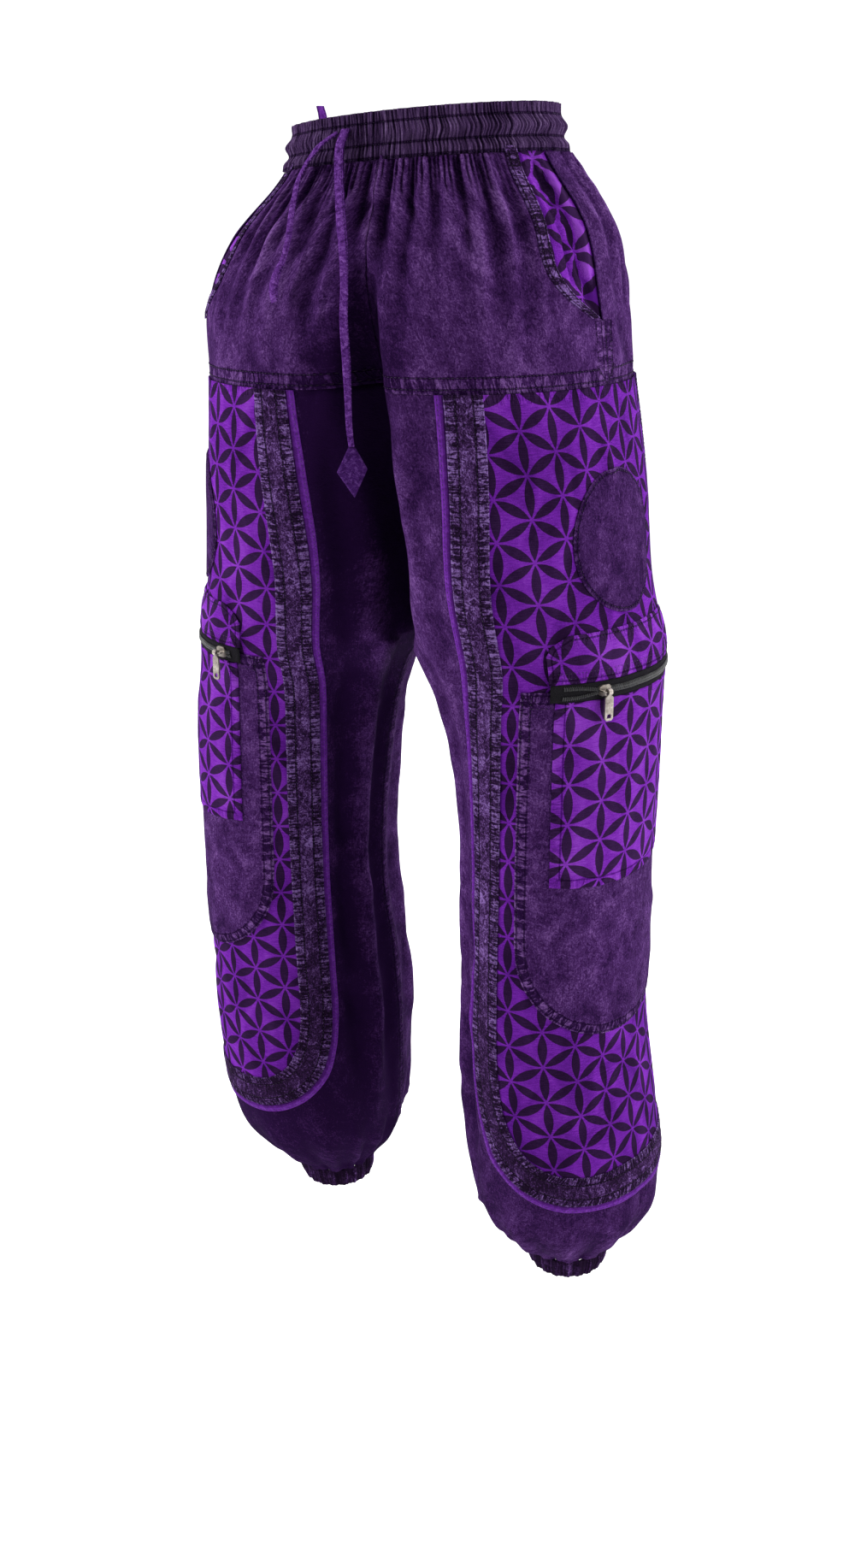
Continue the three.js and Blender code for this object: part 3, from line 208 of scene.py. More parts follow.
def tape(name, stations):
    """A folded tape along its stations, with its route and its length. Its stitched edge is thinner."""
    rows = table(STATION_COLUMNS, stations)
    route = curve_through(np.column_stack([rows["x"], rows["y"], rows["z"]]), STATION_STEPS)
    at = np.linspace(0, len(stations) - 1, len(route))
    wide, thick, twist = (np.interp(at, np.arange(len(stations)), rows[key]) for key in ("wide", "thick", "twist"))
    along = unit(np.gradient(route, axis=0))
    turn = np.radians(twist)
    across = np.column_stack([np.cos(turn), np.sin(turn), np.zeros(len(turn))])
    across = unit(across - along * (across * along).sum(1)[:, None])
    out = np.cross(along, across)
    section = [(-1, 0), *TAPE_SECTION, (1, 0), *((u, -v) for u, v in reversed(TAPE_SECTION))]
    ring = len(section)
    points = np.concatenate([
        (route + across * (u * wide / 2)[:, None] + out * (v * thick / 2)[:, None])[:, None] for u, v in section
    ], axis=1).reshape(-1, 3)
    gone = np.concatenate([[0], np.cumsum(np.linalg.norm(np.diff(route, axis=0), axis=1))])
    place = np.array([[(u * wide[i] / 2, gone[i], 0) for u, v in section] for i in range(len(route))]).reshape(-1, 3)
    index = np.arange(len(points)).reshape(len(route), ring)
    next_one = np.roll(index, -1, axis=1)
    sides = np.stack([index[:-1], next_one[:-1], next_one[1:], index[1:]], -1).reshape(-1, 4)
    ends = np.array([index[0][::-1], index[-1]])
    return mesh_object(name, points, [sides, ends], {"cloth": place}), route, gone[-1]


def carry(piece, material):
    """Gives a piece its finish and the garment to ride on."""
    piece.data.materials.append(material)
    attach(piece, "garment")


SHEEN_TINT = (0.62, 0.35, 0.9, 1)


def recipe(name, roughness, sheen=0.0, gloss=0.01):
    """A new node material: its tree and its shader."""
    material = bpy.data.materials.new(name)
    material.use_nodes = True
    shader = material.node_tree.nodes["Principled BSDF"]
    shader.inputs["Roughness"].default_value = roughness
    shader.inputs["Specular IOR Level"].default_value = gloss
    shader.inputs["Sheen Weight"].default_value = sheen
    shader.inputs["Sheen Roughness"].default_value = 0.5
    shader.inputs["Sheen Tint"].default_value = SHEEN_TINT
    return material, material.node_tree, shader


def calc(tree, operation, *values):
    """One step of arithmetic on sockets or numbers."""
    step = tree.nodes.new("ShaderNodeMath")
    step.operation = operation
    for socket, value in zip(step.inputs, values):
        if isinstance(value, bpy.types.NodeSocket):
            tree.links.new(value, socket)
        else:
            socket.default_value = value
    return step.outputs[0]


def between(tree, value, low, high, bottom=0.0, top=1.0):
    """Smooth step of a value from bottom, at low, to top, at high."""
    step = tree.nodes.new("ShaderNodeMapRange")
    step.interpolation_type = "SMOOTHSTEP"
    tree.links.new(value, step.inputs["Value"])
    for key, number in (("From Min", low), ("From Max", high), ("To Min", bottom), ("To Max", top)):
        step.inputs[key].default_value = number
    return step.outputs["Result"]


def millimetres(tree, mark="cloth", stretch=(1, 1, 1)):
    """A mesh attribute in millimetres, stretched along its axes."""
    attribute = tree.nodes.new("ShaderNodeAttribute")
    attribute.attribute_name = mark
    step = tree.nodes.new("ShaderNodeVectorMath")
    step.operation = "MULTIPLY"
    tree.links.new(attribute.outputs["Vector"], step.inputs[0])
    step.inputs[1].default_value = stretch
    return step.outputs["Vector"]


def split(tree, vector):
    step = tree.nodes.new("ShaderNodeSeparateXYZ")
    tree.links.new(vector, step.inputs[0])
    return step.outputs


def noise(tree, vector, scale, detail=2.0, rough=0.55, twist=0.0):
    step = tree.nodes.new("ShaderNodeTexNoise")
    tree.links.new(vector, step.inputs["Vector"])
    step.inputs["Scale"].default_value = scale
    step.inputs["Detail"].default_value = detail
    step.inputs["Roughness"].default_value = rough
    step.inputs["Distortion"].default_value = twist
    return step.outputs["Fac"]


def shade(tree, value, stops):
    """Colours along a value from 0 to 1."""
    step = tree.nodes.new("ShaderNodeValToRGB")
    tree.links.new(value, step.inputs["Fac"])
    ramp = step.color_ramp
    while len(ramp.elements) < len(stops):
        ramp.elements.new(0.5)
    for element, (place, colour) in zip(ramp.elements, stops):
        element.position = place
        element.color = (*colour, 1)
    return step.outputs["Color"]


def blended(tree, factor, first, second):
    step = tree.nodes.new("ShaderNodeMix")
    step.data_type = "RGBA"
    for socket, value in ((step.inputs[0], factor), (step.inputs[6], first), (step.inputs[7], second)):
        if isinstance(value, bpy.types.NodeSocket):
            tree.links.new(value, socket)
        else:
            socket.default_value = value if isinstance(value, float) else (*value, 1)
    return step.outputs[2]


def raised(tree, shader, height, distance):
    """Relief of the surface from a height of 0 to 1, distance in metres."""
    step = tree.nodes.new("ShaderNodeBump")
    step.inputs["Distance"].default_value = distance
    tree.links.new(height, step.inputs["Height"])
    tree.links.new(step.outputs["Normal"], shader.inputs["Normal"])


BRIGHT_TONES = ((0.30, (0.070, 0.013, 0.150)), (0.48, (0.128, 0.021, 0.285)), (0.72, (0.225, 0.060, 0.430)))
CORD_TONES = ((0.34, (0.020, 0.0045, 0.044)), (0.50, (0.098, 0.024, 0.195)), (0.64, (0.230, 0.085, 0.390)))
TIP_TONES = ((0.34, (0.012, 0.0030, 0.026)), (0.50, (0.045, 0.010, 0.100)), (0.66, (0.120, 0.045, 0.215)))
TAPE_THREAD = (0.02, 0.006, 0.045)
CORD_STITCH = 2.6
NO_STITCH = 30


def bright_tape(name, stitch_at, tones=BRIGHT_TONES, edge_shade=-0.16):
    """Bright purple folded tape with painted shade along its edges and a line of dashes along it."""
    material, tree, shader = recipe(name, 0.8, 0.03)
    place = millimetres(tree)
    across, along = split(tree, place)[:2]
    tone = calc(tree, "MULTIPLY_ADD", noise(tree, millimetres(tree, stretch=(0.25, 0.30, 1)), 1.0, 4, 0.6, 1.0), 0.7,
                calc(tree, "MULTIPLY", noise(tree, place, 1.4, 2), 0.3))
    # painted shade along the tape's edges, where it rolls away
    painted_edge_shade = between(tree, calc(tree, "ABSOLUTE", across), 3.9, 2.9, edge_shade, 0)
    colour = shade(tree, calc(tree, "ADD", tone, painted_edge_shade), tones)
    off_line = calc(tree, "ABSOLUTE", calc(tree, "SUBTRACT", across, stitch_at))
    dash = calc(tree, "MULTIPLY", between(tree, off_line, 0.5, 0.2),
                calc(tree, "GREATER_THAN", calc(tree, "FRACT", calc(tree, "MULTIPLY", along, 0.33)), 0.3))
    colour = blended(tree, calc(tree, "MULTIPLY", dash, 0.8), colour, TAPE_THREAD)
    tree.links.new(colour, shader.inputs["Base Color"])
    weave = calc(tree, "SUBTRACT", noise(tree, place, 3.2, 1), calc(tree, "MULTIPLY", dash, 0.8))
    raised(tree, shader, weave, 0.0004)
    return material


cord_finish = bright_tape("washed_drawstring", CORD_STITCH, CORD_TONES)
# the diamond's corners and middle across and up from the tape's end, then its turn in radians
TIP_OUTLINE = ((2.4, 0), (11, -14.7), (1.5, -35), (-11, -17.5), (-2.4, 0))
TIP_MIDDLE = (0.2, -16.5)
TIP_THICK = 2.4
TIP_PLACE = np.array([4.6, -152.8, -222.5])
TIP_TURN = 0.2


def folded_tip():
    """The tape's end, folded over itself twice and stitched flat into a diamond."""
    corners = np.array(TIP_OUTLINE, float)
    middle = np.array(TIP_MIDDLE)
    rim = []
    for k in range(len(corners)):
        start, end = corners[k], corners[(k + 1) % len(corners)]
        rim += [start + (end - start) * t for t in np.linspace(0, 1, 8, endpoint=False)]
    rim = np.array(rim)
    rings = np.linspace(0.04, 1, 9)
    flat = np.array([middle + (rim - middle) * part for part in rings])
    fold_line = (flat[..., 0] * 0.85 + (flat[..., 1] + 14) * 0.55)
    lap = 0.35 / (1 + np.exp(-fold_line * 2.2))
    edge = np.clip((1 - rings) * 9, 0, 1)[:, None]
    height = (0.25 + 0.4 * edge) * TIP_THICK * (0.75 + lap)
    front = np.stack([flat[..., 0], -np.minimum(height, TIP_THICK / 2), flat[..., 1]], -1)
    behind = np.stack([flat[..., 0], np.minimum(height, TIP_THICK / 2), flat[..., 1]], -1)
    points = np.concatenate([front.reshape(-1, 3), behind.reshape(-1, 3)])
    c, s = math.cos(TIP_TURN), math.sin(TIP_TURN)
    turn = np.array([[c, -s, 0], [s, c, 0], [0, 0, 1]])
    points = points @ turn.T + TIP_PLACE
    place = np.concatenate([np.dstack([flat, np.zeros(flat.shape[:2])]).reshape(-1, 3)] * 2)
    count = len(points) // 2
    index = np.arange(count).reshape(len(rings), len(rim))
    across = np.roll(index, -1, axis=1)
    faces = np.stack([index[:-1], index[1:], across[1:], across[:-1]], -1).reshape(-1, 4)
    back_faces = faces[:, ::-1] + count
    rim_faces = np.stack([index[-1], index[-1] + count, across[-1] + count, across[-1]], -1)
    caps = np.array([index[0], index[0][::-1] + count])
    return mesh_object("drawstring_tip_folded", points, [faces, back_faces, rim_faces, caps], {"cloth": place})


tip = folded_tip()
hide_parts("drawstring_tip")
carry(tip, bright_tape("washed_tip", NO_STITCH, TIP_TONES, 0.0))
for node_name, stations, far_end, parts in (
    ("drawstring_long", LONG_END, "fitting", [tip]),
    ("drawstring_short", SHORT_END, "knot", []),
):
    end, route, long = tape(node_name + "_tape", stations)
    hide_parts(node_name)
    carry(end, cord_finish)

# The body of the trousers: each half is a stack of elliptical rings. A place on the cloth is given by its width
# from the side line, round the ring and positive towards the front, and by its height below the waist.
# Columns: height, out from the middle, step back, half width, half depth, turn of the side line in degrees.
RING_COLUMNS = "z out back wide deep turn"
RINGS = {
    "left": table(RING_COLUMNS, (
        (0, 0, 0, 98, 80, 22), (-32, 0, 0, 106, 85, 22), (-80, 8, 0, 132, 112, 21), (-130, 20, 0, 132, 138, 20),
        (-190, 40, 0, 118, 150, 18), (-260, 64, -3, 107, 141, 18), (-330, 82, -7, 98, 126, 18),
        (-385, 97, -11, 97, 112, 18), (-420, 108, -14, 86, 103, 18), (-460, 115, -16, 78, 100, 18),
        (-540, 121, -20, 71, 101, 18), (-620, 124, -24, 70, 101, 18), (-700, 126, -25, 72, 101, 18),
        (-780, 133, -25, 77, 99, 18), (-855, 141, -25, 76, 92, 18), (-890, 142, -25, 58, 69, 18),
        (-912, 143, -25, 38, 41, 18), (-935, 143, -25, 31, 33, 18),
    )),
    "right": table(RING_COLUMNS, (
        (0, 0, 0, 103, 80, 22), (-32, 0, 0, 111, 85, 22), (-80, 9, 0, 146, 112, 24), (-130, 24, 0, 148, 138, 26),
        (-190, 42, 0, 124, 150, 30), (-260, 64, 3, 107, 141, 30), (-330, 82, 7, 97, 126, 30),
        (-385, 97, 11, 97, 112, 30), (-420, 110, 14, 87, 103, 30), (-460, 119, 16, 84, 96, 30),
        (-540, 127, 20, 80, 93, 30), (-620, 129, 24, 79, 94, 30), (-700, 126, 25, 86, 90, 30),
        (-780, 122, 26, 86, 91, 30), (-855, 117, 27, 77, 88, 30), (-890, 110, 27, 58, 66, 30),
        (-912, 106, 27, 38, 41, 30), (-935, 103, 27, 31, 33, 30),
    )),
}
SIDE_SIGN = {"left": 1, "right": -1}
CROTCH = -385.0
SEAM = 0.3
WAIST_TILT = 0.075
TILT_ENDS_AT = 190.0
MIDDLE_GROOVES = table("z front behind half", (
    (-50, 0, 0, 12), (-100, 12, 0, 12), (-135, 33, 3, 14), (-185, 64, 10, 18), (-260, 80, 24, 24),
    (-330, 50, 22, 25), (-385, 0, 0, 25),
))
# the figure is worked out at every millimetre from here down and at every millimetre of width
TOP_OF_TABLE = 2.0
END_OF_TABLE = -938.0
WIDEST = 400
RING_POINTS = 181
# millimetres over which folds fade out at the middle, and over which the step of the legs sets in
MIDDLE_FADE = 24
STEP_HEIGHT = 60
STEP_WIDTH = 50


def ease(t):
    s = np.clip(t, 0, 1)
    return s * s * (3 - 2 * s)


def smooth(rows, z, column):
    """Smooth value of one column of a table at heights; the rows run from the highest to the lowest."""
    heights, values = rows["z"], rows[column]
    z = np.asarray(z, float)
    k = np.clip(np.searchsorted(-heights, -z, side="left") - 1, 0, len(heights) - 2)
    rank = np.arange(len(heights))
    above, below = np.maximum(rank - 1, 0), np.minimum(rank + 1, len(heights) - 1)
    slope = (values[below] - values[above]) / (heights[below] - heights[above])
    span = heights[k + 1] - heights[k]
    t = np.clip((z - heights[k]) / span, 0, 1)
    mix = 3 * t ** 2 - 2 * t ** 3
    bend = (t ** 3 - 2 * t ** 2 + t) * slope[k] + (t ** 3 - t ** 2) * slope[k + 1]
    return (1 - mix) * values[k] + mix * values[k + 1] + bend * span


def straight(rows, z, column):
    return np.interp(-np.asarray(z, float), -rows["z"], rows[column])


def figure(rings):
    """The rings at every millimetre of height, with the angle at every millimetre of width."""
    heights = np.arange(TOP_OF_TABLE, END_OF_TABLE, -1.0)
    widths = np.arange(-WIDEST, WIDEST + 1.0)
    made = {column: smooth(rings, heights, column) for column in RING_COLUMNS.split()[1:]}
    reach = (made["out"] - SEAM / 2) / made["wide"]
    made["open"] = ((heights > CROTCH) & (reach < 1)).astype(float)
    start = np.where(made["open"] > 0.5, np.arccos(np.clip(reach, -1, 1)), SEAM / 2 / made["deep"])
    angles = start[:, None] + (2 * np.pi - 2 * start[:, None]) * np.linspace(0, 1, RING_POINTS)
    x = made["wide"][:, None] * np.cos(angles)
    y = made["deep"][:, None] * np.sin(angles)
    steps = np.hypot(np.diff(x), np.diff(y))
    lengths = np.hstack([np.zeros((len(heights), 1)), np.cumsum(steps, axis=1)])
    side_angle = np.pi - np.radians(made["turn"])
    side = np.array([np.interp(side_angle[i], angles[i], lengths[i]) for i in range(len(heights))])
    made["front"] = side
    made["behind"] = lengths[:, -1] - side
    made["angle"] = np.array([np.interp(side[i] - widths, lengths[i], angles[i]) for i in range(len(heights))])
    return made


FIGURES = {side: figure(rings) for side, rings in RINGS.items()}


def ring_value(side, z, column):
    """A ring's value at heights, from the nearest two rings of the figure."""
    values = FIGURES[side][column]
    return np.interp(TOP_OF_TABLE - np.asarray(z, float), np.arange(len(values)), values)


def body_point(side, w, z, push):
    """Points of the body's outer face, pushed out, and the way out of the smooth ring there."""
    rings = FIGURES[side]
    row = np.clip(TOP_OF_TABLE - z, 0, len(rings["open"]) - 1.001)
    column = np.clip(w + WIDEST, 0, 2 * WIDEST - 0.001)
    i, j = row.astype(int), column.astype(int)
    s, t = row - i, column - j
    angle = rings["angle"]
    turned = ((angle[i, j] * (1 - t) + angle[i, j + 1] * t) * (1 - s)
              + (angle[i + 1, j] * (1 - t) + angle[i + 1, j + 1] * t) * s)
    out, back, wide, deep = (rings[key][i] * (1 - s) + rings[key][i + 1] * s
                             for key in ("out", "back", "wide", "deep"))
    opened = rings["open"][i] > 0.5
    x = out - wide * np.cos(turned)
    y = -deep * np.sin(turned)
    out_x, out_y = -np.cos(turned) / wide, -np.sin(turned) / deep
    size = np.hypot(out_x, out_y)
    out_x, out_y = out_x / size, out_y / size
    near_middle = np.where(opened, ease((x - SEAM / 2) / MIDDLE_FADE), 1)
    groove = np.exp(-((x / smooth(MIDDLE_GROOVES, z, "half")) ** 2))
    depth = np.where(y < 0, smooth(MIDDLE_GROOVES, z, "front"), -smooth(MIDDLE_GROOVES, z, "behind"))
    grooved = (z > CROTCH) & (z < MIDDLE_GROOVES["z"][0]) & opened
    y = y + np.where(grooved, depth * groove, 0)
    x = x + out_x * push * near_middle
    y = y + out_y * push
    step = ease((CROTCH - z) / STEP_HEIGHT)
    y = y + back * (step + (1 - step) * ease(x / STEP_WIDTH))
    x = np.maximum(x, SEAM / 2) if np.all(z > CROTCH) else x
    sign = SIDE_SIGN[side]
    tilt = WAIST_TILT * np.clip(1 + z / TILT_ENDS_AT, 0, 1)
    return np.stack([sign * x, y, z + tilt * sign * x], -1), np.stack([sign * out_x, out_y, 0 * out_x], -1)


class Cloth:
    """The cloth of one half, with a push function that gives its folds at widths and heights."""

    def __init__(self, side, push):
        self.side = side
        self.push = push

    def base(self, w, z):
        return body_point(self.side, w, z, self.push(self.side, w, z))

    def at(self, w, z, height=0.0):
        """Points at a height above the cloth's outer face; the way out there stays in normal."""
        w, z = np.broadcast_arrays(np.asarray(w, float), np.asarray(z, float))
        points, outwards = self.base(w, z)
        front, behind = ring_value(self.side, z, "front"), -ring_value(self.side, z, "behind")
        ahead, _ = self.base(np.minimum(w + 1.0, front), z)
        astern, _ = self.base(np.maximum(w - 1.0, behind), z)
        above, _ = self.base(w, z + 1.0)
        below, _ = self.base(w, z - 1.0)
        normal = unit(np.cross(above - below, ahead - astern))
        normal = normal * np.where((normal * outwards).sum(-1) < 0, -1, 1)[..., None]
        self.normal = normal
        made = points + normal * np.broadcast_to(height, w.shape)[..., None]
        sign = SIDE_SIGN[self.side]
        upper = (z > CROTCH) & (sign * made[..., 0] < SEAM / 2)
        made[..., 0] = np.where(upper, sign * SEAM / 2, made[..., 0])
        return made


def ripple(w, z, size, seed):
    """Soft uneven relief from -1 to 1, with humps of about the given size."""
    u, v = w / size, z / size
    drift = 1.6 * np.sin(0.37 * u - 0.53 * v + 3 * seed) + 1.1 * np.sin(0.61 * u + 0.29 * v - seed)
    lag = 1.7 * np.sin(0.41 * u + 0.33 * v + 2 * seed) + 0.9 * np.sin(0.71 * v - 0.47 * u)
    first = np.sin(2.1 * u + 1.2 * np.sin(0.9 * v + seed) + drift) * np.sin(1.3 * v + 0.9 * np.sin(1.2 * u) + lag)
    second = np.sin(3.7 * u - 1.9 * v + 2.2 * np.sin(1.1 * v - seed) + drift) * 0.5
    return (first + second) / 1.5


def creases(w, z, rows):
    """Troughs and ridges along short bowed lines: from one place to another, depth and half width."""
    total = np.zeros(np.broadcast(w, z).shape)
    for w0, z0, w1, z1, depth, half, bow in rows:
        run = np.array([w1 - w0, z1 - z0], float)
        long = np.hypot(*run)
        along = ((w - w0) * run[0] + (z - z0) * run[1]) / long ** 2
        off = ((w - w0) * -run[1] + (z - z0) * run[0]) / long
        off = off - bow * (1 - (2 * np.clip(along, 0, 1) - 1) ** 2)
        fade = ease(along / 0.3) * ease((1 - along) / 0.3)
        total = total + depth * fade * np.exp(-((off / half) ** 2))
    return total


def shell(name, outer, inner, keep=None, around=False, marks=None):
    """A closed wall between two grids of points, where the kept cells are; columns may join up all round."""
    rows, columns = outer.shape[:2]
    count = rows * columns
    index = np.arange(count).reshape(rows, columns)
    if around:
        index = np.hstack([index, index[:, :1]])
    quads = np.stack([index[:-1, :-1], index[1:, :-1], index[1:, 1:], index[:-1, 1:]], -1)
    quads = quads.reshape(-1, 4) if keep is None else quads[keep]
    edges = np.concatenate([quads[:, [i, (i + 1) % 4]] for i in range(4)])
    there = edges[:, 0] * count + edges[:, 1]
    back = edges[:, 1] * count + edges[:, 0]
    rim = edges[~np.isin(there, back)]
    rim_faces = np.column_stack([rim[:, 1], rim[:, 0], rim[:, 0] + count, rim[:, 1] + count])
    points = np.concatenate([outer.reshape(-1, 3), inner.reshape(-1, 3)])
    doubled = {mark: np.concatenate([values.reshape(-1, 3)] * 2) for mark, values in (marks or {}).items()}
    return mesh_object(name, points, [quads, quads[:, ::-1] + count, rim_faces], doubled)


def dress(piece, node_name, material):
    """Hides the model's part that a cloth piece stands for, and gives the piece its finish and the garment to ride
    on.
    """
    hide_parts(node_name)
    carry(piece, material)


def grid_down(z_rows, columns):
    return np.repeat(z_rows[:, None], columns, axis=1)


def turned_edge(off, thin, reach):
    """Share of a cloth's thickness, thin at its turned edge and whole further in than the reach."""
    return thin + (1 - thin) * ease(off / reach)


def puckers(along, off, depth, pitch, sway, drift, at, wide):
    """Small waves along a stitched edge, strongest at one distance from it."""
    return depth * np.sin(along / pitch + sway * np.sin(along / drift)) * np.exp(-((off - at) / wide) ** 2)


def distance_from(w, z, line):
    """Distance of each place from a line of places, and how far along the line its nearest point is."""
    line = np.array(line, float)
    start, run = line[:-1], np.diff(line, axis=0)
    long = np.maximum(np.hypot(run[:, 0], run[:, 1]), 1e-9)
    gone = np.concatenate([[0], np.cumsum(long)])[:-1]
    flat = np.stack([np.ravel(w), np.ravel(z)], -1)
    best, where = np.full(len(flat), 1e9), np.zeros(len(flat))
    for k in range(len(start)):
        t = np.clip(((flat - start[k]) @ run[k]) / long[k] ** 2, 0, 1)
        off = np.linalg.norm(flat - start[k] - t[:, None] * run[k], axis=1)
        nearer = off < best
        best[nearer] = off[nearer]
        where[nearer] = gone[k] + t[nearer] * long[k]
    return best.reshape(np.shape(w)), where.reshape(np.shape(w))


FAR_FROM_EDGE = 60
# half width and strength of the painted shade in the valley between the thighs
VALLEY_HALF = 34
VALLEY_PAINTED_SHADE = 0.27


def marks_of(side, w, z, push, off=None, along=None):
    """The attributes of a cloth grid: its places and folds, and its distance from the nearest sewn edge.

    The valley between the thighs in front gets painted shade: its depth is taken off the fold.
    """
    if off is None:
        off, along = np.full(w.shape, float(FAR_FROM_EDGE)), z
    from_middle = ring_value(side, z, "front") - w
    # painted shade in the valley between the thighs in front, taken off the fold so that the colour darkens there
    valley = smooth(MIDDLE_GROOVES, np.clip(z, -380, -55), "front") * np.exp(-((from_middle / VALLEY_HALF) ** 2))
    painted_shading = push - VALLEY_PAINTED_SHADE * np.where(w > 0, valley, 0)
    return {"cloth": np.stack([w, z, painted_shading], -1), "edge": np.stack([off, along, 0 * w], -1)}


# Sewing thread. Every seam in the later sections adds its stitches here, and each half's thread becomes one
# mesh at the end: a stitch is a short spindle that dips into the cloth at both ends.
STITCH_LONG = 2.4
STITCH_PITCH = 3.1
STITCH_DIP = -0.12
STITCH_CROWN = 0.06
THREAD_HALF = 0.28
threads = {"left": [], "right": [], "waist": []}


def spindles(where, first, middle, last, out, half=THREAD_HALF):
    """Adds stitches to one half's thread, each from its first end over its middle to its last end."""
    across = np.cross(unit(last - first), out)
    threads[where].append(np.stack([
        first, middle + out * half, middle + across * half, middle - out * half, middle - across * half, last,
    ], 1))


def sew(where, cloth, line, height, pitch=STITCH_PITCH):
    line = np.array(line, float)
    gone = np.concatenate([[0], np.cumsum(np.hypot(*np.diff(line, axis=0).T))])
    starts = np.arange(pitch / 2, gone[-1] - STITCH_LONG, pitch)

    def spot(shift, lift):
        w, z = np.interp(starts + shift, gone, line[:, 0]), np.interp(starts + shift, gone, line[:, 1])
        return cloth.at(w, z, height + lift)

    first, last = spot(0, STITCH_DIP), spot(STITCH_LONG, STITCH_DIP)
    middle = spot(STITCH_LONG / 2, STITCH_CROWN)
    spindles(where, first, middle, last, cloth.normal)


def sew_level(where, cloth, half, z, count, height):
    """A row of stitches straight across, from one half width to the other."""
    sew(where, cloth, [(w, z) for w in np.linspace(half, -half, count)], height)


# Legs: front and back of plain stonewashed cotton, joined at the inner seam and, under the side panel's lower
# edge, at the side. Long soft folds fall from the hip, and the last 60 mm are bloused and gathered into the cuff.
PANEL_HALF = table("z half", (
    (-185, 139), (-243, 145), (-296, 149), (-405, 151), (-549, 151), (-680, 154), (-722, 155), (-935, 155),
))
FOLD_HEIGHTS = (-190, -250, -560, -770, -850)
# place across the piece from the panel's edge to the inner seam, then the depth at hip, knee and calf
FRONT_FOLDS = {
    "left": ((0.25, -3, -3, -4), (0.5, 3, 4, 4), (0.75, -2, -4, -6)),
    "right": ((0.25, -5, -7, -6), (0.5, 4, 6, 5), (0.75, -3, -6, -7)),
}
BACK_FOLDS = ((1 / 6, -3, -6, -5), (2 / 6, 3, 5, 6), (3 / 6, -4, -6, -6), (4 / 6, 4, 4, 5), (5 / 6, -3, -5, -4))
BLOUSE = table("z depth", ((-815, 0), (-851, 1.2), (-875, 3), (-897, 3.6), (-916, 2.2), (-936, 1.5)))
LEG_TOP = -185.3
BLOUSE_START = -815
GATHER_START = -851.0
CUFF_TOP = -916.0
LEG_CUT = 0.745
BAND_INSET = 6
BAND_END = 33
CUTOUT_END = -760.0
CLOTH_THICK = 1.2
LEG_ROW_STEP = 4.5
LEG_COLUMN_STEP = 3.6
SEAM_CALM = 14
# short creases: from width and height to width and height, depth, half width, bow
LEG_CREASES = {
    "left": (
        (6, -186, 3, -262, 2.4, 5, 1), (180, -196, 172, -345, 3.2, 7, 5), (190, -300, 166, -470, 2.2, 8, -5),
        (150, -640, 182, -560, -2.2, 8, 5), (146, -700, 196, -620, 2.0, 9, 6), (160, -800, 205, -740, -2.6, 9, 4),
        (60, -700, -40, -720, -1.2, 8, 4), (90, -820, 150, -780, 1.6, 8, -3), (-60, -430, -130, -470, -1.0, 7, 3),
        (-120, -560, -150, -640, -1.4, 7, -3), (-170, -300, -210, -420, -3.0, 10, 8),
        (-180, -520, -230, -600, 2.6, 10, -6), (-170, -700, -230, -650, -2.6, 9, 5),
        (-160, -790, -220, -760, 2.2, 9, 4), (20, -730, 70, -790, -1.0, 7, 3), (-20, -600, -90, -590, 0.8, 6, 2),
        (170, -860, 200, -900, 2.2, 6, 2), (120, -868, 130, -905, -2.0, 6, 0),
    ),
    "right": (
        (160, -195, 170, -330, -3.0, 9, -4), (185, -260, 178, -420, 3.0, 9, 5), (150, -480, 190, -400, -2.4, 8, 5),
        (165, -560, 200, -640, 2.8, 9, -5), (155, -700, 190, -770, -3.0, 9, 5), (60, -690, -30, -712, -1.2, 8, 4),
        (-40, -420, -120, -450, -1.0, 7, 3), (-120, -600, -152, -680, -1.4, 7, -3),
        (-170, -260, -200, -380, -3.0, 10, 8), (-170, -480, -225, -560, 2.6, 10, -6),
        (-180, -660, -225, -720, -2.8, 9, 5), (-150, -800, -215, -770, 2.4, 9, 4), (30, -740, 80, -792, -1.0, 7, 3),
        (150, -862, 160, -900, 2.0, 6, 2), (-120, -866, -130, -902, -2.0, 6, 0),
    ),
}


def fold_depth(fold, z):
    depths = (0, fold[1], fold[2], fold[3], 0)
    return np.interp(-z, [-height for height in FOLD_HEIGHTS], depths)


def leg_columns(side, w, z):
    """How many columns of gathers a place lies from the inner edge in front: 24 go all round."""
    front, behind = ring_value(side, z, "front"), ring_value(side, z, "behind")
    low = ring_value(side, GATHER_START, "front") + ring_value(side, GATHER_START, "behind")
    shrink = np.where(z < GATHER_START, (front + behind) / low, 1)
    edge = straight(PANEL_HALF, z, "half") * shrink
    steps = [edge, edge - BAND_INSET * shrink, edge - BAND_END * shrink]
    steps += [part * shrink for part in (105, 80, 53, 27, 0, -27, -53, -80, -105)]
    steps += [BAND_END * shrink - edge, BAND_INSET * shrink - edge, -edge]
    column = np.where(w > edge, 4 * (front - w) / np.maximum(front - edge, 1), 0)
    for k in range(len(steps) - 1):
        inside = (w <= steps[k]) & (w > steps[k + 1])
        column = np.where(inside, 4 + k + (steps[k] - w) / np.maximum(steps[k] - steps[k + 1], 1e-6), column)
    behind_edge = 18 + 6 * (-edge - w) / np.maximum(behind - edge, 1)
    return np.where(w <= -edge, behind_edge, column)


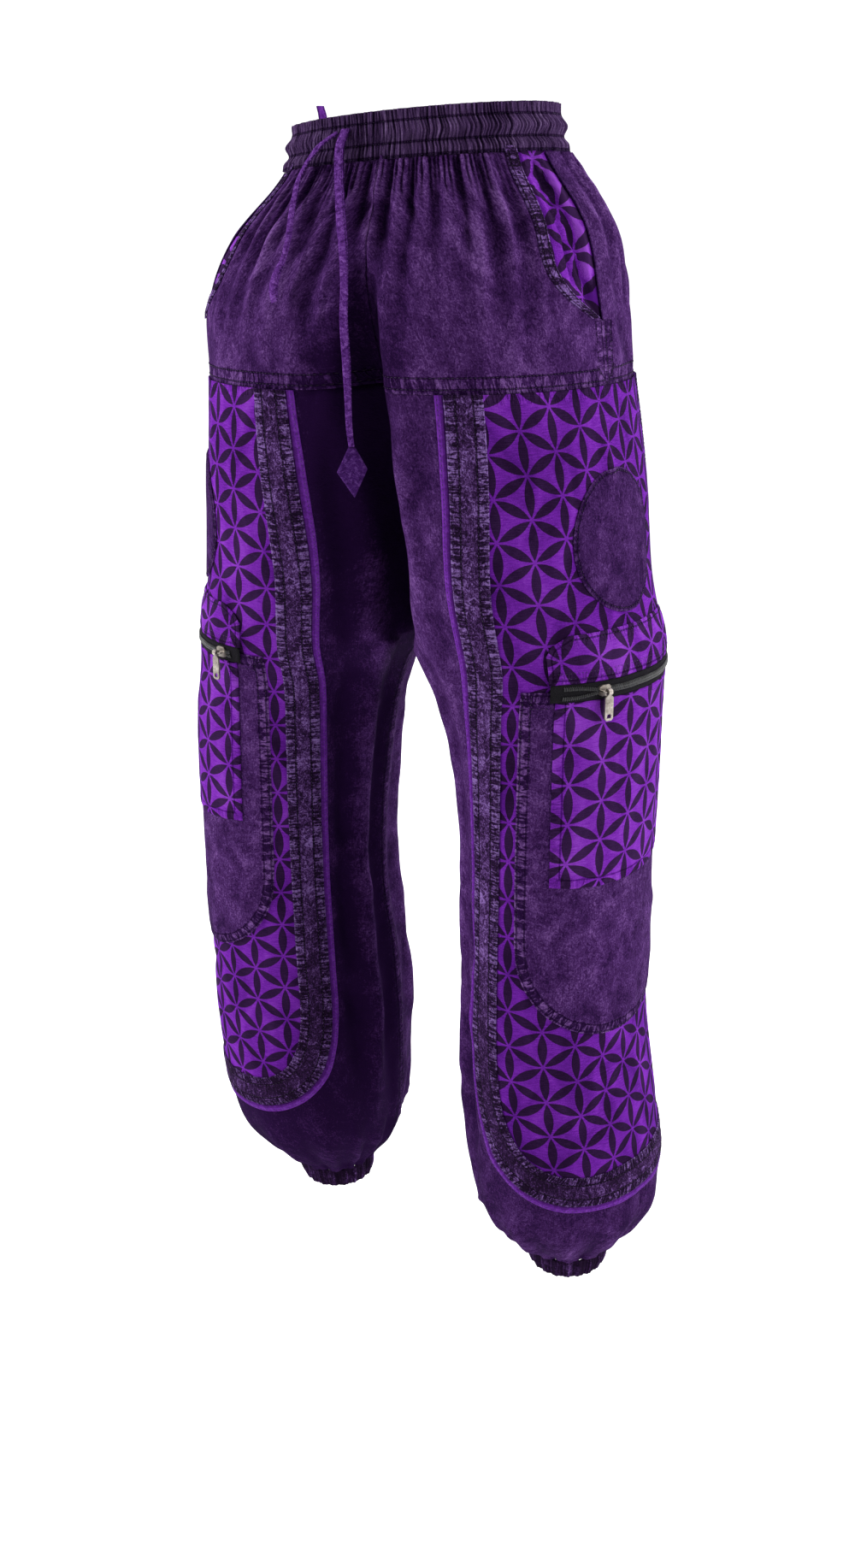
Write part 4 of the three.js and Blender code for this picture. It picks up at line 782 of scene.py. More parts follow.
def leg_push(side, w, z):
    w, z = np.broadcast_arrays(np.asarray(w, float), np.asarray(z, float))
    front, behind = ring_value(side, z, "front"), ring_value(side, z, "behind")
    edge = straight(PANEL_HALF, z, "half")
    place_front = (w - edge) / np.maximum(front - edge, 1)
    place_back = (-w - edge) / np.maximum(behind - edge, 1)
    total = np.zeros(w.shape)
    for place, folds, reach in ((place_front, FRONT_FOLDS[side], 0.25), (place_back, BACK_FOLDS, 1 / 6)):
        for fold in folds:
            near = np.clip(np.abs(place - fold[0]) / reach, 0, 1)
            total = total + np.where(place > 0, fold_depth(fold, z) * np.cos(near * np.pi / 2) ** 2, 0)
    column = leg_columns(side, w, z)
    off_seam = ease(np.minimum(front - w, behind + w) / SEAM_CALM)
    uneven = 0.8 + 0.3 * off_seam * np.sin(2.3 * column)
    small = 0.28 * off_seam * np.cos(2.7 * np.pi * column + 1) * ease((-870 - z) / 30)
    gathers = np.cos(np.pi * column) * uneven + small
    total = total + np.where(z < BLOUSE_START, straight(BLOUSE, z, "depth") * gathers, 0)
    calm = ease((-190 - z) / 30) * ease((z + 925) / 30) * off_seam
    total = total + 1.2 * creases(w, z, LEG_CREASES[side]) * calm
    bare = ease((np.abs(w) - edge) / 12)
    total = total + calm * (0.4 + 1.5 * bare) * ripple(w, z * 0.6, 30, 1.3 + SIDE_SIGN[side])
    total = total + calm * (0.2 + 0.5 * bare) * ripple(w, z * 0.7, 12, 4.1)
    return total


PLAIN_TONES = ((0.20, (0.016, 0.0038, 0.034)), (0.44, (0.047, 0.0140, 0.086)), (0.60, (0.086, 0.031, 0.148)),
               (0.82, (0.185, 0.084, 0.285)))
DARK_TONES = ((0.22, (0.012, 0.0050, 0.0185)), (0.44, (0.034, 0.0125, 0.058)), (0.60, (0.100, 0.042, 0.170)),
              (0.80, (0.235, 0.135, 0.390)))


BAR_SIZE = 0.30
BAR_STRETCH = 0.08


def seam_bars(tree, off, along, reach, size=BAR_SIZE):
    """Pale and dark bars across a seam, from -1 to 1, as far in from the edge as the outer stitching."""
    spot = tree.nodes.new("ShaderNodeCombineXYZ")
    tree.links.new(calc(tree, "MULTIPLY", along, size), spot.inputs[0])
    tree.links.new(calc(tree, "MULTIPLY", off, BAR_STRETCH), spot.inputs[1])
    bars = between(tree, noise(tree, spot.outputs[0], 1.0, 2, 0.6, 0.9), 0.40, 0.60, -1, 1)
    return calc(tree, "MULTIPLY", bars, between(tree, off, reach + 2.5, reach - 0.5))


def stitch_grooves(tree, off, places):
    """Thin dark lines at distances from the edge."""
    groove = None
    for at in places:
        line = between(tree, calc(tree, "ABSOLUTE", calc(tree, "SUBTRACT", off, at)), 0.85, 0.25)
        groove = line if groove is None else calc(tree, "MAXIMUM", groove, line)
    return groove


CONTRAST = 1.9
# the colour darkens from the knee to the hem: the height where it starts and ends, and its last tone
HEM_DARKENING = (-560, -800, -0.12)


def stonewashed(name, tones=PLAIN_TONES, shift=0.0, grooves=(3.0,), bars=0.16, reach=10.0, veins=0.5,
                bar_size=BAR_SIZE, groove_tone=-0.22):
    """Garment-dyed cotton, washed with stones: fine pale veins all over, and bars across its seams."""
    material, tree, shader = recipe(name, 0.88, 0.01)
    place = millimetres(tree, stretch=(1, 0.85, 0.3))
    _, level, fold = split(tree, millimetres(tree))
    off, along = split(tree, millimetres(tree, "edge"))[:2]
    flecks = noise(tree, place, 0.95, 3, 0.75)
    vein = noise(tree, place, 0.30, 4, 0.68, 1.6)
    slubs = noise(tree, millimetres(tree, stretch=(1.3, 0.12, 0.3)), 1.0, 3, 0.6)
    cloud = noise(tree, place, 0.045, 4, 0.6, 0.6)
    tone = calc(tree, "MULTIPLY_ADD", flecks, 0.42, calc(tree, "MULTIPLY", slubs, 0.22))
    tone = calc(tree, "MULTIPLY_ADD", vein, veins, tone)
    tone = calc(tree, "MULTIPLY_ADD", cloud, 0.42, tone)
    tone = calc(tree, "MULTIPLY_ADD", tone, CONTRAST, 0.47 + shift - CONTRAST * (0.53 + veins / 2))
    # darker from the knee down to the hem
    tone = calc(tree, "ADD", tone, between(tree, level, HEM_DARKENING[0], HEM_DARKENING[1], 0.0, HEM_DARKENING[2]))
    # the fold height lightens ridges and darkens troughs: stone wear on the ridges, and painted light and shade that
    # bring out the folds
    tone = calc(tree, "MULTIPLY_ADD", fold, 0.028, tone)
    seam = seam_bars(tree, off, along, reach, size=bar_size)
    tone = calc(tree, "MULTIPLY_ADD", seam, bars, tone)
    tone = calc(tree, "ADD", tone, between(tree, off, 1.4, 0.2, 0.0, 0.14))
    height = calc(tree, "MULTIPLY_ADD", vein, 0.55, calc(tree, "MULTIPLY", flecks, 0.4))
    height = calc(tree, "MULTIPLY_ADD", seam, 0.45, height)
    if grooves:
        groove = stitch_grooves(tree, off, grooves)
        tone = calc(tree, "MULTIPLY_ADD", groove, groove_tone, tone)
        height = calc(tree, "MULTIPLY_ADD", groove, -0.7, height)
    tree.links.new(shade(tree, tone, tones), shader.inputs["Base Color"])
    raised(tree, shader, height, 0.0016)
    return material


leg_finish = stonewashed("plain_stonewashed_leg", grooves=(4.0,), bars=0.1, reach=5.0)
# a copy of the leg's finish with painted shade, for the right leg's front, which lies in the left leg's shadow
shaded_leg_finish = stonewashed("plain_stonewashed_leg_painted_shade", shift=-0.19, grooves=(4.0,), bars=0.1, reach=5.0)
for side in ("left", "right"):
    cloth = Cloth(side, leg_push)
    rows = int((LEG_TOP - CUFF_TOP) / LEG_ROW_STEP)
    z_rows = np.linspace(LEG_TOP, CUFF_TOP, rows + 1)
    z_rows[np.argmin(np.abs(z_rows - CUTOUT_END))] = CUTOUT_END
    for part, far in (("front", ring_value(side, z_rows, "front")), ("back", -ring_value(side, z_rows, "behind"))):
        sign = 1 if part == "front" else -1
        full = abs(ring_value(side, GATHER_START, "front" if part == "front" else "behind"))
        shrink = np.where(z_rows < GATHER_START, np.abs(far) / full, 1)
        cut = sign * (straight(PANEL_HALF, z_rows, "half") - BAND_END) * shrink
        wide = int(np.abs(far - cut).max() / LEG_COLUMN_STEP)
        under = int(np.abs(cut).max() / LEG_COLUMN_STEP)
        shares = np.linspace(0, 1, wide + 1)
        w = far[:, None] * (1 - shares) + cut[:, None] * shares
        lower = np.linspace(0, 1, under + 1)[1:]
        w = np.hstack([w, cut[:, None] * (1 - lower) + sign * SEAM / 2 * lower])
        z = grid_down(z_rows, w.shape[1])
        keep = np.ones((w.shape[0] - 1, w.shape[1] - 1), bool)
        keep[z_rows[1:] > CUTOUT_END - 0.01, wide:] = False
        push = leg_push(side, w, z)
        off = np.minimum(np.abs(w - far[:, None]), FAR_FROM_EDGE)
        piece = shell(f"leg_{part}_{side}_cloth", cloth.at(w, z, 0), cloth.at(w, z, -CLOTH_THICK), keep,
                      marks=marks_of(side, w, z, push, np.where(z > CROTCH, FAR_FROM_EDGE, off), z))
        low = z_rows < CUTOUT_END + 1
        size = (round(float(np.abs(far).max()) * 0.001, 3), LEG_CUT)
        # the right leg's front takes the copy with painted shade
        finish = shaded_leg_finish if (part, side) == ("front", "right") else leg_finish
        dress(piece, f"leg_{part}_{side}", finish)

# Side panels: cotton printed in dark purple on bright purple with interlaced circles, whose petals run from
# star to star. The panel is laid over the leg from the yoke seam down, with round lower corners.
PANEL_BOTTOM = table("w z", (
    (0, -815), (48, -814), (86, -806), (116, -786), (138, -761), (146, -742), (149, -722),
))
LAYER_GAP = 0.4
APPLIED_THICK = 1.0
PRINT_GROUND = (0.152, 0.017, 0.340)
PRINT_GROUND_DARK = (0.066, 0.007, 0.165)
PRINT_GROUND_LIGHT = (0.260, 0.056, 0.490)
PETAL_COLOUR = (0.014, 0.0040, 0.024)
PETAL_LIGHT = (0.040, 0.0135, 0.068)
STAR_PITCH = 30.5
PETAL_HALF_LONG = 0.45
PETAL_HALF_WIDE = 0.122
PETAL_EDGE = (-0.16, 0.22)


def printed(name, origin=(0, 0), turned=0.0, groove_at=(), faded=0.0):
    """The circle print: petals in three directions between stars on a triangular lattice."""
    material, tree, shader = recipe(name, 0.86, 0.01)
    place = millimetres(tree)
    w, z, fold = split(tree, place)
    off, along = split(tree, millimetres(tree, "edge"))[:2]
    w, z = calc(tree, "SUBTRACT", w, origin[0]), calc(tree, "SUBTRACT", z, origin[1])
    pitch = STAR_PITCH
    row_step = pitch * math.sqrt(3) / 2
    long, wide = PETAL_HALF_LONG * pitch, PETAL_HALF_WIDE * pitch
    radius = (long ** 2 + wide ** 2) / (2 * wide)
    petals = None
    for degrees in (90, 30, 150):
        angle = math.radians(degrees + turned)
        run = calc(tree, "MULTIPLY_ADD", w, math.cos(angle), calc(tree, "MULTIPLY", z, math.sin(angle)))
        rise = calc(tree, "MULTIPLY_ADD", w, -math.sin(angle), calc(tree, "MULTIPLY", z, math.cos(angle)))
        row = calc(tree, "ROUND", calc(tree, "DIVIDE", rise, row_step))
        rise = calc(tree, "ABSOLUTE", calc(tree, "MULTIPLY_ADD", row, -row_step, rise))
        run = calc(tree, "FRACT", calc(tree, "MULTIPLY_ADD", row, 0.5, calc(tree, "DIVIDE", run, pitch)))
        run = calc(tree, "MULTIPLY", calc(tree, "SUBTRACT", run, 0.5), pitch)
        under_root = calc(tree, "SUBTRACT", radius ** 2, calc(tree, "MULTIPLY", run, run))
        arc = calc(tree, "SQRT", calc(tree, "MAXIMUM", under_root, 0.0))
        inside = calc(tree, "SUBTRACT", calc(tree, "SUBTRACT", arc, radius - wide), rise)
        petals = inside if petals is None else calc(tree, "MAXIMUM", petals, inside)
    rough_edge = noise(tree, place, 0.9, 2)
    petals = calc(tree, "MULTIPLY_ADD", calc(tree, "SUBTRACT", rough_edge, 0.5), 0.7, petals)
    petal = between(tree, petals, *PETAL_EDGE)
    flecks = noise(tree, millimetres(tree, stretch=(1.3, 0.9, 0.3)), 1.0, 3, 0.75)
    slubs = noise(tree, millimetres(tree, stretch=(0.12, 1.6, 0.3)), 1.0, 2, 0.6)
    cloud = noise(tree, millimetres(tree, stretch=(1, 0.5, 0.3)), 0.04, 3, 0.6, 0.5)
    tone = calc(tree, "MULTIPLY_ADD", flecks, 0.45, calc(tree, "MULTIPLY", slubs, 0.45))
    tone = calc(tree, "MULTIPLY_ADD", cloud, 0.6, calc(tree, "ADD", tone, faded - 0.25))
    # the fold height lightens ridges and darkens troughs as painted light and shade; on the pocket facing it carries
    # the facing's painted shading
    tone = calc(tree, "MULTIPLY_ADD", fold, 0.018, tone)
    seam = seam_bars(tree, off, along, 7.0)
    tone = calc(tree, "MULTIPLY_ADD", seam, 0.05, tone)
    groove = stitch_grooves(tree, off, groove_at)
    if groove_at:
        tone = calc(tree, "MULTIPLY_ADD", groove, -0.2, tone)
    ground = shade(tree, tone, ((0.3, PRINT_GROUND_DARK), (0.5, PRINT_GROUND), (0.72, PRINT_GROUND_LIGHT)))
    dark = shade(tree, tone, ((0.36, PETAL_COLOUR), (0.68, PETAL_LIGHT)))
    tree.links.new(blended(tree, petal, ground, dark), shader.inputs["Base Color"])
    height = calc(tree, "MULTIPLY_ADD", slubs, 0.22, calc(tree, "MULTIPLY", flecks, 0.3))
    height = calc(tree, "MULTIPLY_ADD", seam, 0.4, height)
    if groove_at:
        height = calc(tree, "MULTIPLY_ADD", groove, -0.7, height)
    raised(tree, shader, height, 0.001)
    return material


def spread(count, share=0.45):
    """Shares from -1 to 1 that crowd towards both ends."""
    even = np.linspace(-1, 1, count)
    return (1 - share) * even + share * np.sin(even * np.pi / 2)


panel_prints = {"left": printed("print_panel_left", (84.0, -210.0), faded=-0.07),
                "right": printed("print_panel_right", (4.0, -215.0), faded=-0.03)}
for side in ("left", "right"):
    cloth = Cloth(side, leg_push)
    shares = spread(96)[None]
    bottom = np.interp(np.abs(shares) * PANEL_BOTTOM["w"][-1], PANEL_BOTTOM["w"], PANEL_BOTTOM["z"])
    down = np.linspace(0, 1, 176)[:, None]
    z = LEG_TOP + (bottom - LEG_TOP) * down
    w = shares * (straight(PANEL_HALF, z, "half") - BAND_INSET)
    push = leg_push(side, w, z)
    off = np.minimum(LEG_TOP - z + 1.0, FAR_FROM_EDGE)
    piece = shell(f"side_panel_{side}_cloth", cloth.at(w, z, LAYER_GAP + APPLIED_THICK), cloth.at(w, z, LAYER_GAP),
                  marks=marks_of(side, w, z, push, off, w))
    dress(piece, f"side_panel_{side}", panel_prints[side])

# Border: a dark band laid round the panel's edge with two creases stitched along it, and outside it a narrow
# folded tape of bright purple. Both run down the front, round the lower corners and up the back.
# width and height of each edge round the corner, from the front down to the lower edge
TRIM_CORNER = ((155, -722), (154.3, -742), (151, -764), (141, -790), (122, -811), (96, -825), (62, -831), (27, -832))
BAND_OUTER_CORNER = (
    (149, -722), (148.3, -742), (145, -762), (135.5, -786), (117.5, -806), (93, -819), (60, -825), (27, -826),
)
BAND_INNER_CORNER = ((122, -722), (121, -742), (117, -760), (106, -780), (88, -793), (62, -798.5), (27, -799))
BORDER_HEIGHTS = (LEG_TOP, -243, -296, -405, -549, -680)
BORDER_STEPS = 24
STRAIGHT_STATIONS = 150
CORNER_STATIONS = 130
TRIM_WIDTH = 6
TRIM_CROWN = 1.6


def outline(corner, inset, gap=0.0):
    """Places along an edge of the border: down the front, round the two corners and up the back."""
    half = [(float(straight(PANEL_HALF, z, "half")) - inset - gap, z) for z in BORDER_HEIGHTS]
    half += [(w - gap, z + gap) for w, z in corner]
    line = curve_through(half + [(-w, z) for w, z in reversed(half)], BORDER_STEPS)
    gone = np.concatenate([[0], np.cumsum(np.hypot(*np.diff(line, axis=0).T))])
    turn = BORDER_STEPS * len(BORDER_HEIGHTS)
    stations = np.concatenate([
        np.linspace(0, gone[turn], STRAIGHT_STATIONS, endpoint=False),
        np.linspace(gone[turn], gone[-1] - gone[turn], CORNER_STATIONS, endpoint=False),
        np.linspace(gone[-1] - gone[turn], gone[-1], STRAIGHT_STATIONS),
    ])
    return np.column_stack([np.interp(stations, gone, line[:, 0]), np.interp(stations, gone, line[:, 1])]), stations


def strip_between(first, second, share):
    """Widths and heights of a strip of places between two lines, at shares of the way across."""
    return [first[:, k:k + 1] * (1 - share) + second[:, k:k + 1] * share for k in (0, 1)]


band_finish = stonewashed("dark_stonewashed_band", DARK_TONES, 0.02, (7.4,), 0.20, 7.0, 0.9, 0.46, -0.34)
trim_finish = bright_tape("bright_trim", NO_STITCH)
band_out, band_run = outline(BAND_OUTER_CORNER, BAND_INSET)
band_in, _ = outline(BAND_INNER_CORNER, BAND_END)
trim_out, trim_run = outline(TRIM_CORNER, 0)
trim_in, _ = outline(BAND_OUTER_CORNER, BAND_INSET, -SEAM)
BAND_HEIGHT = 2 * LAYER_GAP + APPLIED_THICK
# stitched lines of the band: share of the way in from its outer edge, share of the cloth's thickness
BAND_SEAMS = ((0.275, 1), (0.725, 1), (0.07, 0.85), (0.95, 0.8))
for side in ("left", "right"):
    cloth = Cloth(side, leg_push)
    share = (0.5 + 0.5 * spread(13, 0.5))[None]
    w, z = strip_between(band_out, band_in, share)
    off = np.minimum(share, 1 - share) * np.hypot(*(band_out - band_in).T)[:, None]
    along = np.repeat(band_run[:, None], share.size, axis=1)
    top = APPLIED_THICK * turned_edge(off, 0.55, 2.0) + puckers(along, off, 0.3, 1.35, 2, 17, 4.5, 3)
    piece = shell(f"border_band_{side}_cloth", cloth.at(w, z, BAND_HEIGHT + top), cloth.at(w, z, BAND_HEIGHT),
                  marks=marks_of(side, w, z, leg_push(side, w, z), off, along))
    dress(piece, f"border_band_{side}", band_finish)
    share = np.linspace(0, 1, 6)[None]
    w, z = strip_between(trim_out, trim_in, share)
    along = np.repeat(trim_run[:, None], share.size, axis=1)
    crown = TRIM_CROWN * (0.62 + 0.38 * np.sin(np.pi * np.clip(share, 0.04, 0.96)))
    place = np.stack([share * TRIM_WIDTH + 0 * along, along, 0 * along], -1)
    piece = shell(f"edge_trim_{side}_cloth", cloth.at(w, z, LAYER_GAP + crown), cloth.at(w, z, LAYER_GAP),
                  marks={"cloth": place, "edge": place})
    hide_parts(f"edge_trim_{side}")
    carry(piece, trim_finish)
    for part, lift in BAND_SEAMS:
        sew(side, cloth, band_out * (1 - part) + band_in * part, BAND_HEIGHT + APPLIED_THICK * lift)
    sew(side, cloth, trim_out * 0.72 + trim_in * 0.28, LAYER_GAP + 1.5, pitch=3.4)

# Round patch: a disc of the plain cloth on the side panel, above the pocket flap. Its edge is turned in and
# topstitched once all round.
PATCH_CENTRE = -294.5
PATCH_HALF = 52.5
PATCH_SEAM = 49.9
patch_finish = stonewashed("plain_stonewashed_patch", shift=-0.11, grooves=(2.6,), bars=0.1, reach=3.0)
for side in ("left", "right"):
    cloth = Cloth(side, leg_push)
    turn = np.linspace(0, 2 * np.pi, 121)[:-1]
    far = np.concatenate([np.linspace(1.0, 44, 17), np.linspace(46, PATCH_HALF, 7)])[:, None]
    w, z = far * np.cos(turn), PATCH_CENTRE + far * np.sin(turn)
    off = PATCH_HALF - far + 0 * w
    edge_waves = 0.22 * np.sin(26 * turn + 3 * np.sin(5 * turn)) * np.exp(-((off - 2.4) / 2.5) ** 2)
    body = turned_edge(off, 0.5, 2.0) + edge_waves
    puff = 0.7 * ease(off / 12)
    outer = cloth.at(w, z, BAND_HEIGHT + APPLIED_THICK * body + puff)
    inner = cloth.at(w, z, BAND_HEIGHT + puff * 0.9)
    piece = shell(f"round_patch_{side}_cloth", outer, inner, around=True,
                  marks=marks_of(side, w, z, leg_push(side, w, z) + puff, off, PATCH_HALF * turn + 0 * w))
    dress(piece, f"round_patch_{side}", patch_finish)
    ring = [(PATCH_SEAM * math.cos(a), PATCH_CENTRE + PATCH_SEAM * math.sin(a))
            for a in np.linspace(0, 2 * math.pi, 90)]
    sew(side, cloth, ring, BAND_HEIGHT + APPLIED_THICK + 0.15)

# Plain pocket: a large square-topped cargo pocket of plain cloth, its sides and round lower corners
# topstitched twice, 2 mm and 8 mm in. Washing has drawn its lower edge into small puckers.
POCKET_TOP = -397.0
POCKET_HALF = 105.0
POCKET_CORNER = -595.0
POCKET_DEEP = 86.0
POCKET_ROUND = 2.2
POCKET_BULGE = 3.0
POCKET_SEAMS = (2.0, 8.0)


def bulge(w, z):
    across = np.clip(1 - (w / POCKET_HALF) ** 2, 0, 1)
    down = np.clip((-z - 405) / 90, 0, 1) * np.clip((z + 680) / 40, 0, 1)
    return POCKET_BULGE * across * down


def pocket_bottom(w, inset=0.0):
    share = np.clip(np.abs(w) / (POCKET_HALF - inset), 0, 1)
    return POCKET_CORNER - (POCKET_DEEP - inset) * (1 - share ** POCKET_ROUND) ** (1 / POCKET_ROUND)


def pocket_line(inset):
    """Places along the pocket's side, bottom and other side, a distance in from its edge."""
    half = POCKET_HALF - inset
    turn = np.linspace(0, np.pi, 60)
    round_w = half * np.sign(np.cos(turn)) * np.abs(np.cos(turn)) ** (2 / POCKET_ROUND)
    round_z = POCKET_CORNER - (POCKET_DEEP - inset) * np.sin(turn) ** (2 / POCKET_ROUND)
    return [(half, POCKET_TOP)] + list(zip(round_w, round_z)) + [(-half, POCKET_TOP)]


pocket_finish = stonewashed("plain_stonewashed_pocket", grooves=POCKET_SEAMS, bars=0.26, reach=8.0, veins=0.6)
for side in ("left", "right"):
    cloth = Cloth(side, leg_push)
    shares = spread(76, 0.62)[None]
    down = (0.5 + 0.5 * spread(96, 0.25))[:, None]
    w = shares * POCKET_HALF + 0 * down
    z = POCKET_TOP + (pocket_bottom(w) - POCKET_TOP) * down
    off, along = distance_from(w, z, pocket_line(0) + [(POCKET_HALF, POCKET_TOP)])
    hem = np.maximum(puckers(along, off, 0.32, 1.7, 2.5, 23, 5, 4), -0.3)
    wrinkles = 0.7 * ripple(w * 1.6, z * 0.5, 17, 2.6) * ease(off / 12) * ease((-560 - z) / 50)
    low = BAND_HEIGHT + bulge(w, z) + wrinkles * ease((-560 - z) / 20)
    outer = cloth.at(w, z, low + APPLIED_THICK * turned_edge(off, 0.5, 1.8) + hem)
    # the wrinkles count twice in the painted light and shade of the folds
    piece = shell(f"plain_pocket_{side}_cloth", outer, cloth.at(w, z, low),
                  marks=marks_of(side, w, z, leg_push(side, w, z) + wrinkles * 2, off, along))
    dress(piece, f"plain_pocket_{side}", pocket_finish)
    for inset in POCKET_SEAMS:
        sew(side, cloth, pocket_line(inset), BAND_HEIGHT + APPLIED_THICK + 0.1)
    sew_level(side, cloth, POCKET_HALF - 7, POCKET_TOP - 12, 30, BAND_HEIGHT + APPLIED_THICK + 0.3)

# Print pocket and its flap: a smaller pocket of the printed cloth on the plain one, with the zip set in its
# mouth, and over the zip a printed strip with cut upper corners, its print turned a quarter.
SECOND_HEIGHT = BAND_HEIGHT + APPLIED_THICK + LAYER_GAP
PRINT_TOP = -405.0
PRINT_BOTTOM = -549.0
PRINT_HALF = 80.0
PRINT_SAG = 4.5
PRINT_CORNER_RISE = 1.5
PRINT_SEAM = 7.0
FLAP_TOP = table("w z", ((0, -356), (66, -356), (80, -363), (85, -370)))
FLAP_BOTTOM = -391.0
FLAP_HALF = 85.0


def print_pocket_line(inset=0.0):
    """Places down the print pocket's side, along its sagging lower edge and up its other side."""
    half, low = PRINT_HALF - inset, PRINT_BOTTOM + PRINT_CORNER_RISE + inset
    bottom = [(half * s, low - PRINT_SAG * (1 - s ** 2)) for s in np.linspace(1, -1, 25)]
    return [(half, PRINT_TOP)] + bottom + [(-half, PRINT_TOP)]


print_pocket_finish = printed("print_pocket", (42.0, -453.0), groove_at=(PRINT_SEAM,), faded=0.02)
flap_finish = printed("print_flap", (14.0, -374.0), turned=90.0, groove_at=(3.0,), faded=0.06)
for side in ("left", "right"):
    cloth = Cloth(side, leg_push)
    down = (0.5 + 0.5 * spread(56, 0.35))[:, None]
    shares = spread(60, 0.5)[None]
    z = PRINT_TOP + (PRINT_BOTTOM - PRINT_SAG * (1 - shares ** 2) + PRINT_CORNER_RISE - PRINT_TOP) * down
    w = shares * PRINT_HALF + 0 * z
    off, along = distance_from(w, z, print_pocket_line())
    low = SECOND_HEIGHT + bulge(w, z) + 0.25 * ripple(w, z, 14, 5.2) * ease(off / 10)
    top = low + APPLIED_THICK * turned_edge(off, 0.5, 1.6) + puckers(along, off, 0.2, 1.6, 2.5, 19, 4, 4)
    piece = shell(f"print_pocket_{side}_cloth", cloth.at(w, z, top), cloth.at(w, z, low),
                  marks=marks_of(side, w, z, leg_push(side, w, z), off, along))
    dress(piece, f"print_pocket_{side}", print_pocket_finish)
    pocket_lift = SECOND_HEIGHT + APPLIED_THICK + 0.05
    sew(side, cloth, print_pocket_line(PRINT_SEAM), pocket_lift)
    sew_level(side, cloth, PRINT_HALF - 3, PRINT_TOP - 5, 20, pocket_lift)
    w = spread(56, 0.5)[None] * FLAP_HALF + np.zeros((20, 1))
    upper = np.interp(np.abs(w[0]), FLAP_TOP["w"], FLAP_TOP["z"])[None]
    down = (0.5 + 0.5 * spread(20, 0.4))[:, None]
    z = upper + (FLAP_BOTTOM - upper) * down
    cut = list(zip(FLAP_TOP["w"], FLAP_TOP["z"]))[1:]
    line = [(FLAP_HALF, FLAP_BOTTOM), *reversed(cut), *((-w0, z0) for w0, z0 in cut),
            (-FLAP_HALF, FLAP_BOTTOM), (FLAP_HALF, FLAP_BOTTOM)]
    off, along = distance_from(w, z, line)
    rise = ease((-360 - z) / 14) * (1.0 + LAYER_GAP)
    top = rise + APPLIED_THICK * turned_edge(off, 0.5, 1.6) + puckers(along, off, 0.2, 1.7, 2.2, 21, 3, 3)
    piece = shell(f"pocket_flap_{side}_cloth", cloth.at(w, z, BAND_HEIGHT + top),
                  cloth.at(w, z, BAND_HEIGHT + rise * 0.6),
                  marks=marks_of(side, w, z, leg_push(side, w, z), off, along))
    dress(piece, f"pocket_flap_{side}", flap_finish)
    flap_lift = BAND_HEIGHT + 1.4 + APPLIED_THICK
    for above in (4.0, 8.0):
        sew_level(side, cloth, FLAP_HALF - 4, FLAP_BOTTOM + above, 24, flap_lift)
    sew(side, cloth, [(66, -359), (-66, -359)], BAND_HEIGHT + APPLIED_THICK + 0.3)
    sew(side, cloth, [(FLAP_HALF - 4, FLAP_BOTTOM + 2), (FLAP_HALF - 4, -372)], flap_lift - 0.3)
    sew(side, cloth, [(4 - FLAP_HALF, -372), (4 - FLAP_HALF, FLAP_BOTTOM + 2)], flap_lift - 0.3)

# Zip: a black woven tape in the pocket's mouth with a nylon coil on each half. The coils mesh behind the slider
# and part in front of it. The slider and its pull tab are plated zinc, worn to a warm silver.
ZIP_TOP = -391.4
ZIP_BOTTOM = -404.6
ZIP_HALF = 84.0
ZIP_MIDDLE = (ZIP_TOP + ZIP_BOTTOM) / 2
COIL_PITCH = 1.5
SLIDER_PLACES = {"left": 43, "right": 66}
ZIP_HEIGHT = SECOND_HEIGHT + 0.8


def black_tape():
    material, tree, shader = recipe("black_zip_tape", 0.75, 0.02)
    ribs = noise(tree, millimetres(tree, stretch=(0.9, 4.0, 0)), 1.0, 2)
    tree.links.new(shade(tree, ribs, ((0.3, (0.004, 0.004, 0.005)), (0.7, (0.022, 0.021, 0.024)))),
                   shader.inputs["Base Color"])
    raised(tree, shader, ribs, 0.0005)
    return material


def coil_plastic():
    material, tree, shader = recipe("black_nylon_coil", 0.32, gloss=0.5)
    patches = noise(tree, millimetres(tree), 0.6, 2)
    tree.links.new(shade(tree, patches, ((0.35, (0.010, 0.010, 0.011)), (0.65, (0.045, 0.045, 0.05)))),
                   shader.inputs["Base Color"])
    raised(tree, shader, patches, 0.0001)
    return material


def worn_zinc():
    """Plated zinc with fine scratches and darker stains, on the solids' own coordinates."""
    material, tree, shader = recipe("worn_zinc", 0.36, gloss=0.5)
    shader.inputs["Metallic"].default_value = 0.9
    spot = tree.nodes.new("ShaderNodeTexCoord").outputs["Object"]
    scratches = noise(tree, spot, 900, 3)
    stains = noise(tree, spot, 160, 3)
    tone = calc(tree, "MULTIPLY_ADD", scratches, 0.4, calc(tree, "MULTIPLY", stains, 0.6))
    stops = ((0.35, (0.20, 0.17, 0.15)), (0.55, (0.42, 0.38, 0.34)), (0.7, (0.62, 0.58, 0.53)))
    tree.links.new(shade(tree, tone, stops), shader.inputs["Base Color"])
    raised(tree, shader, scratches, 0.00008)
    return material


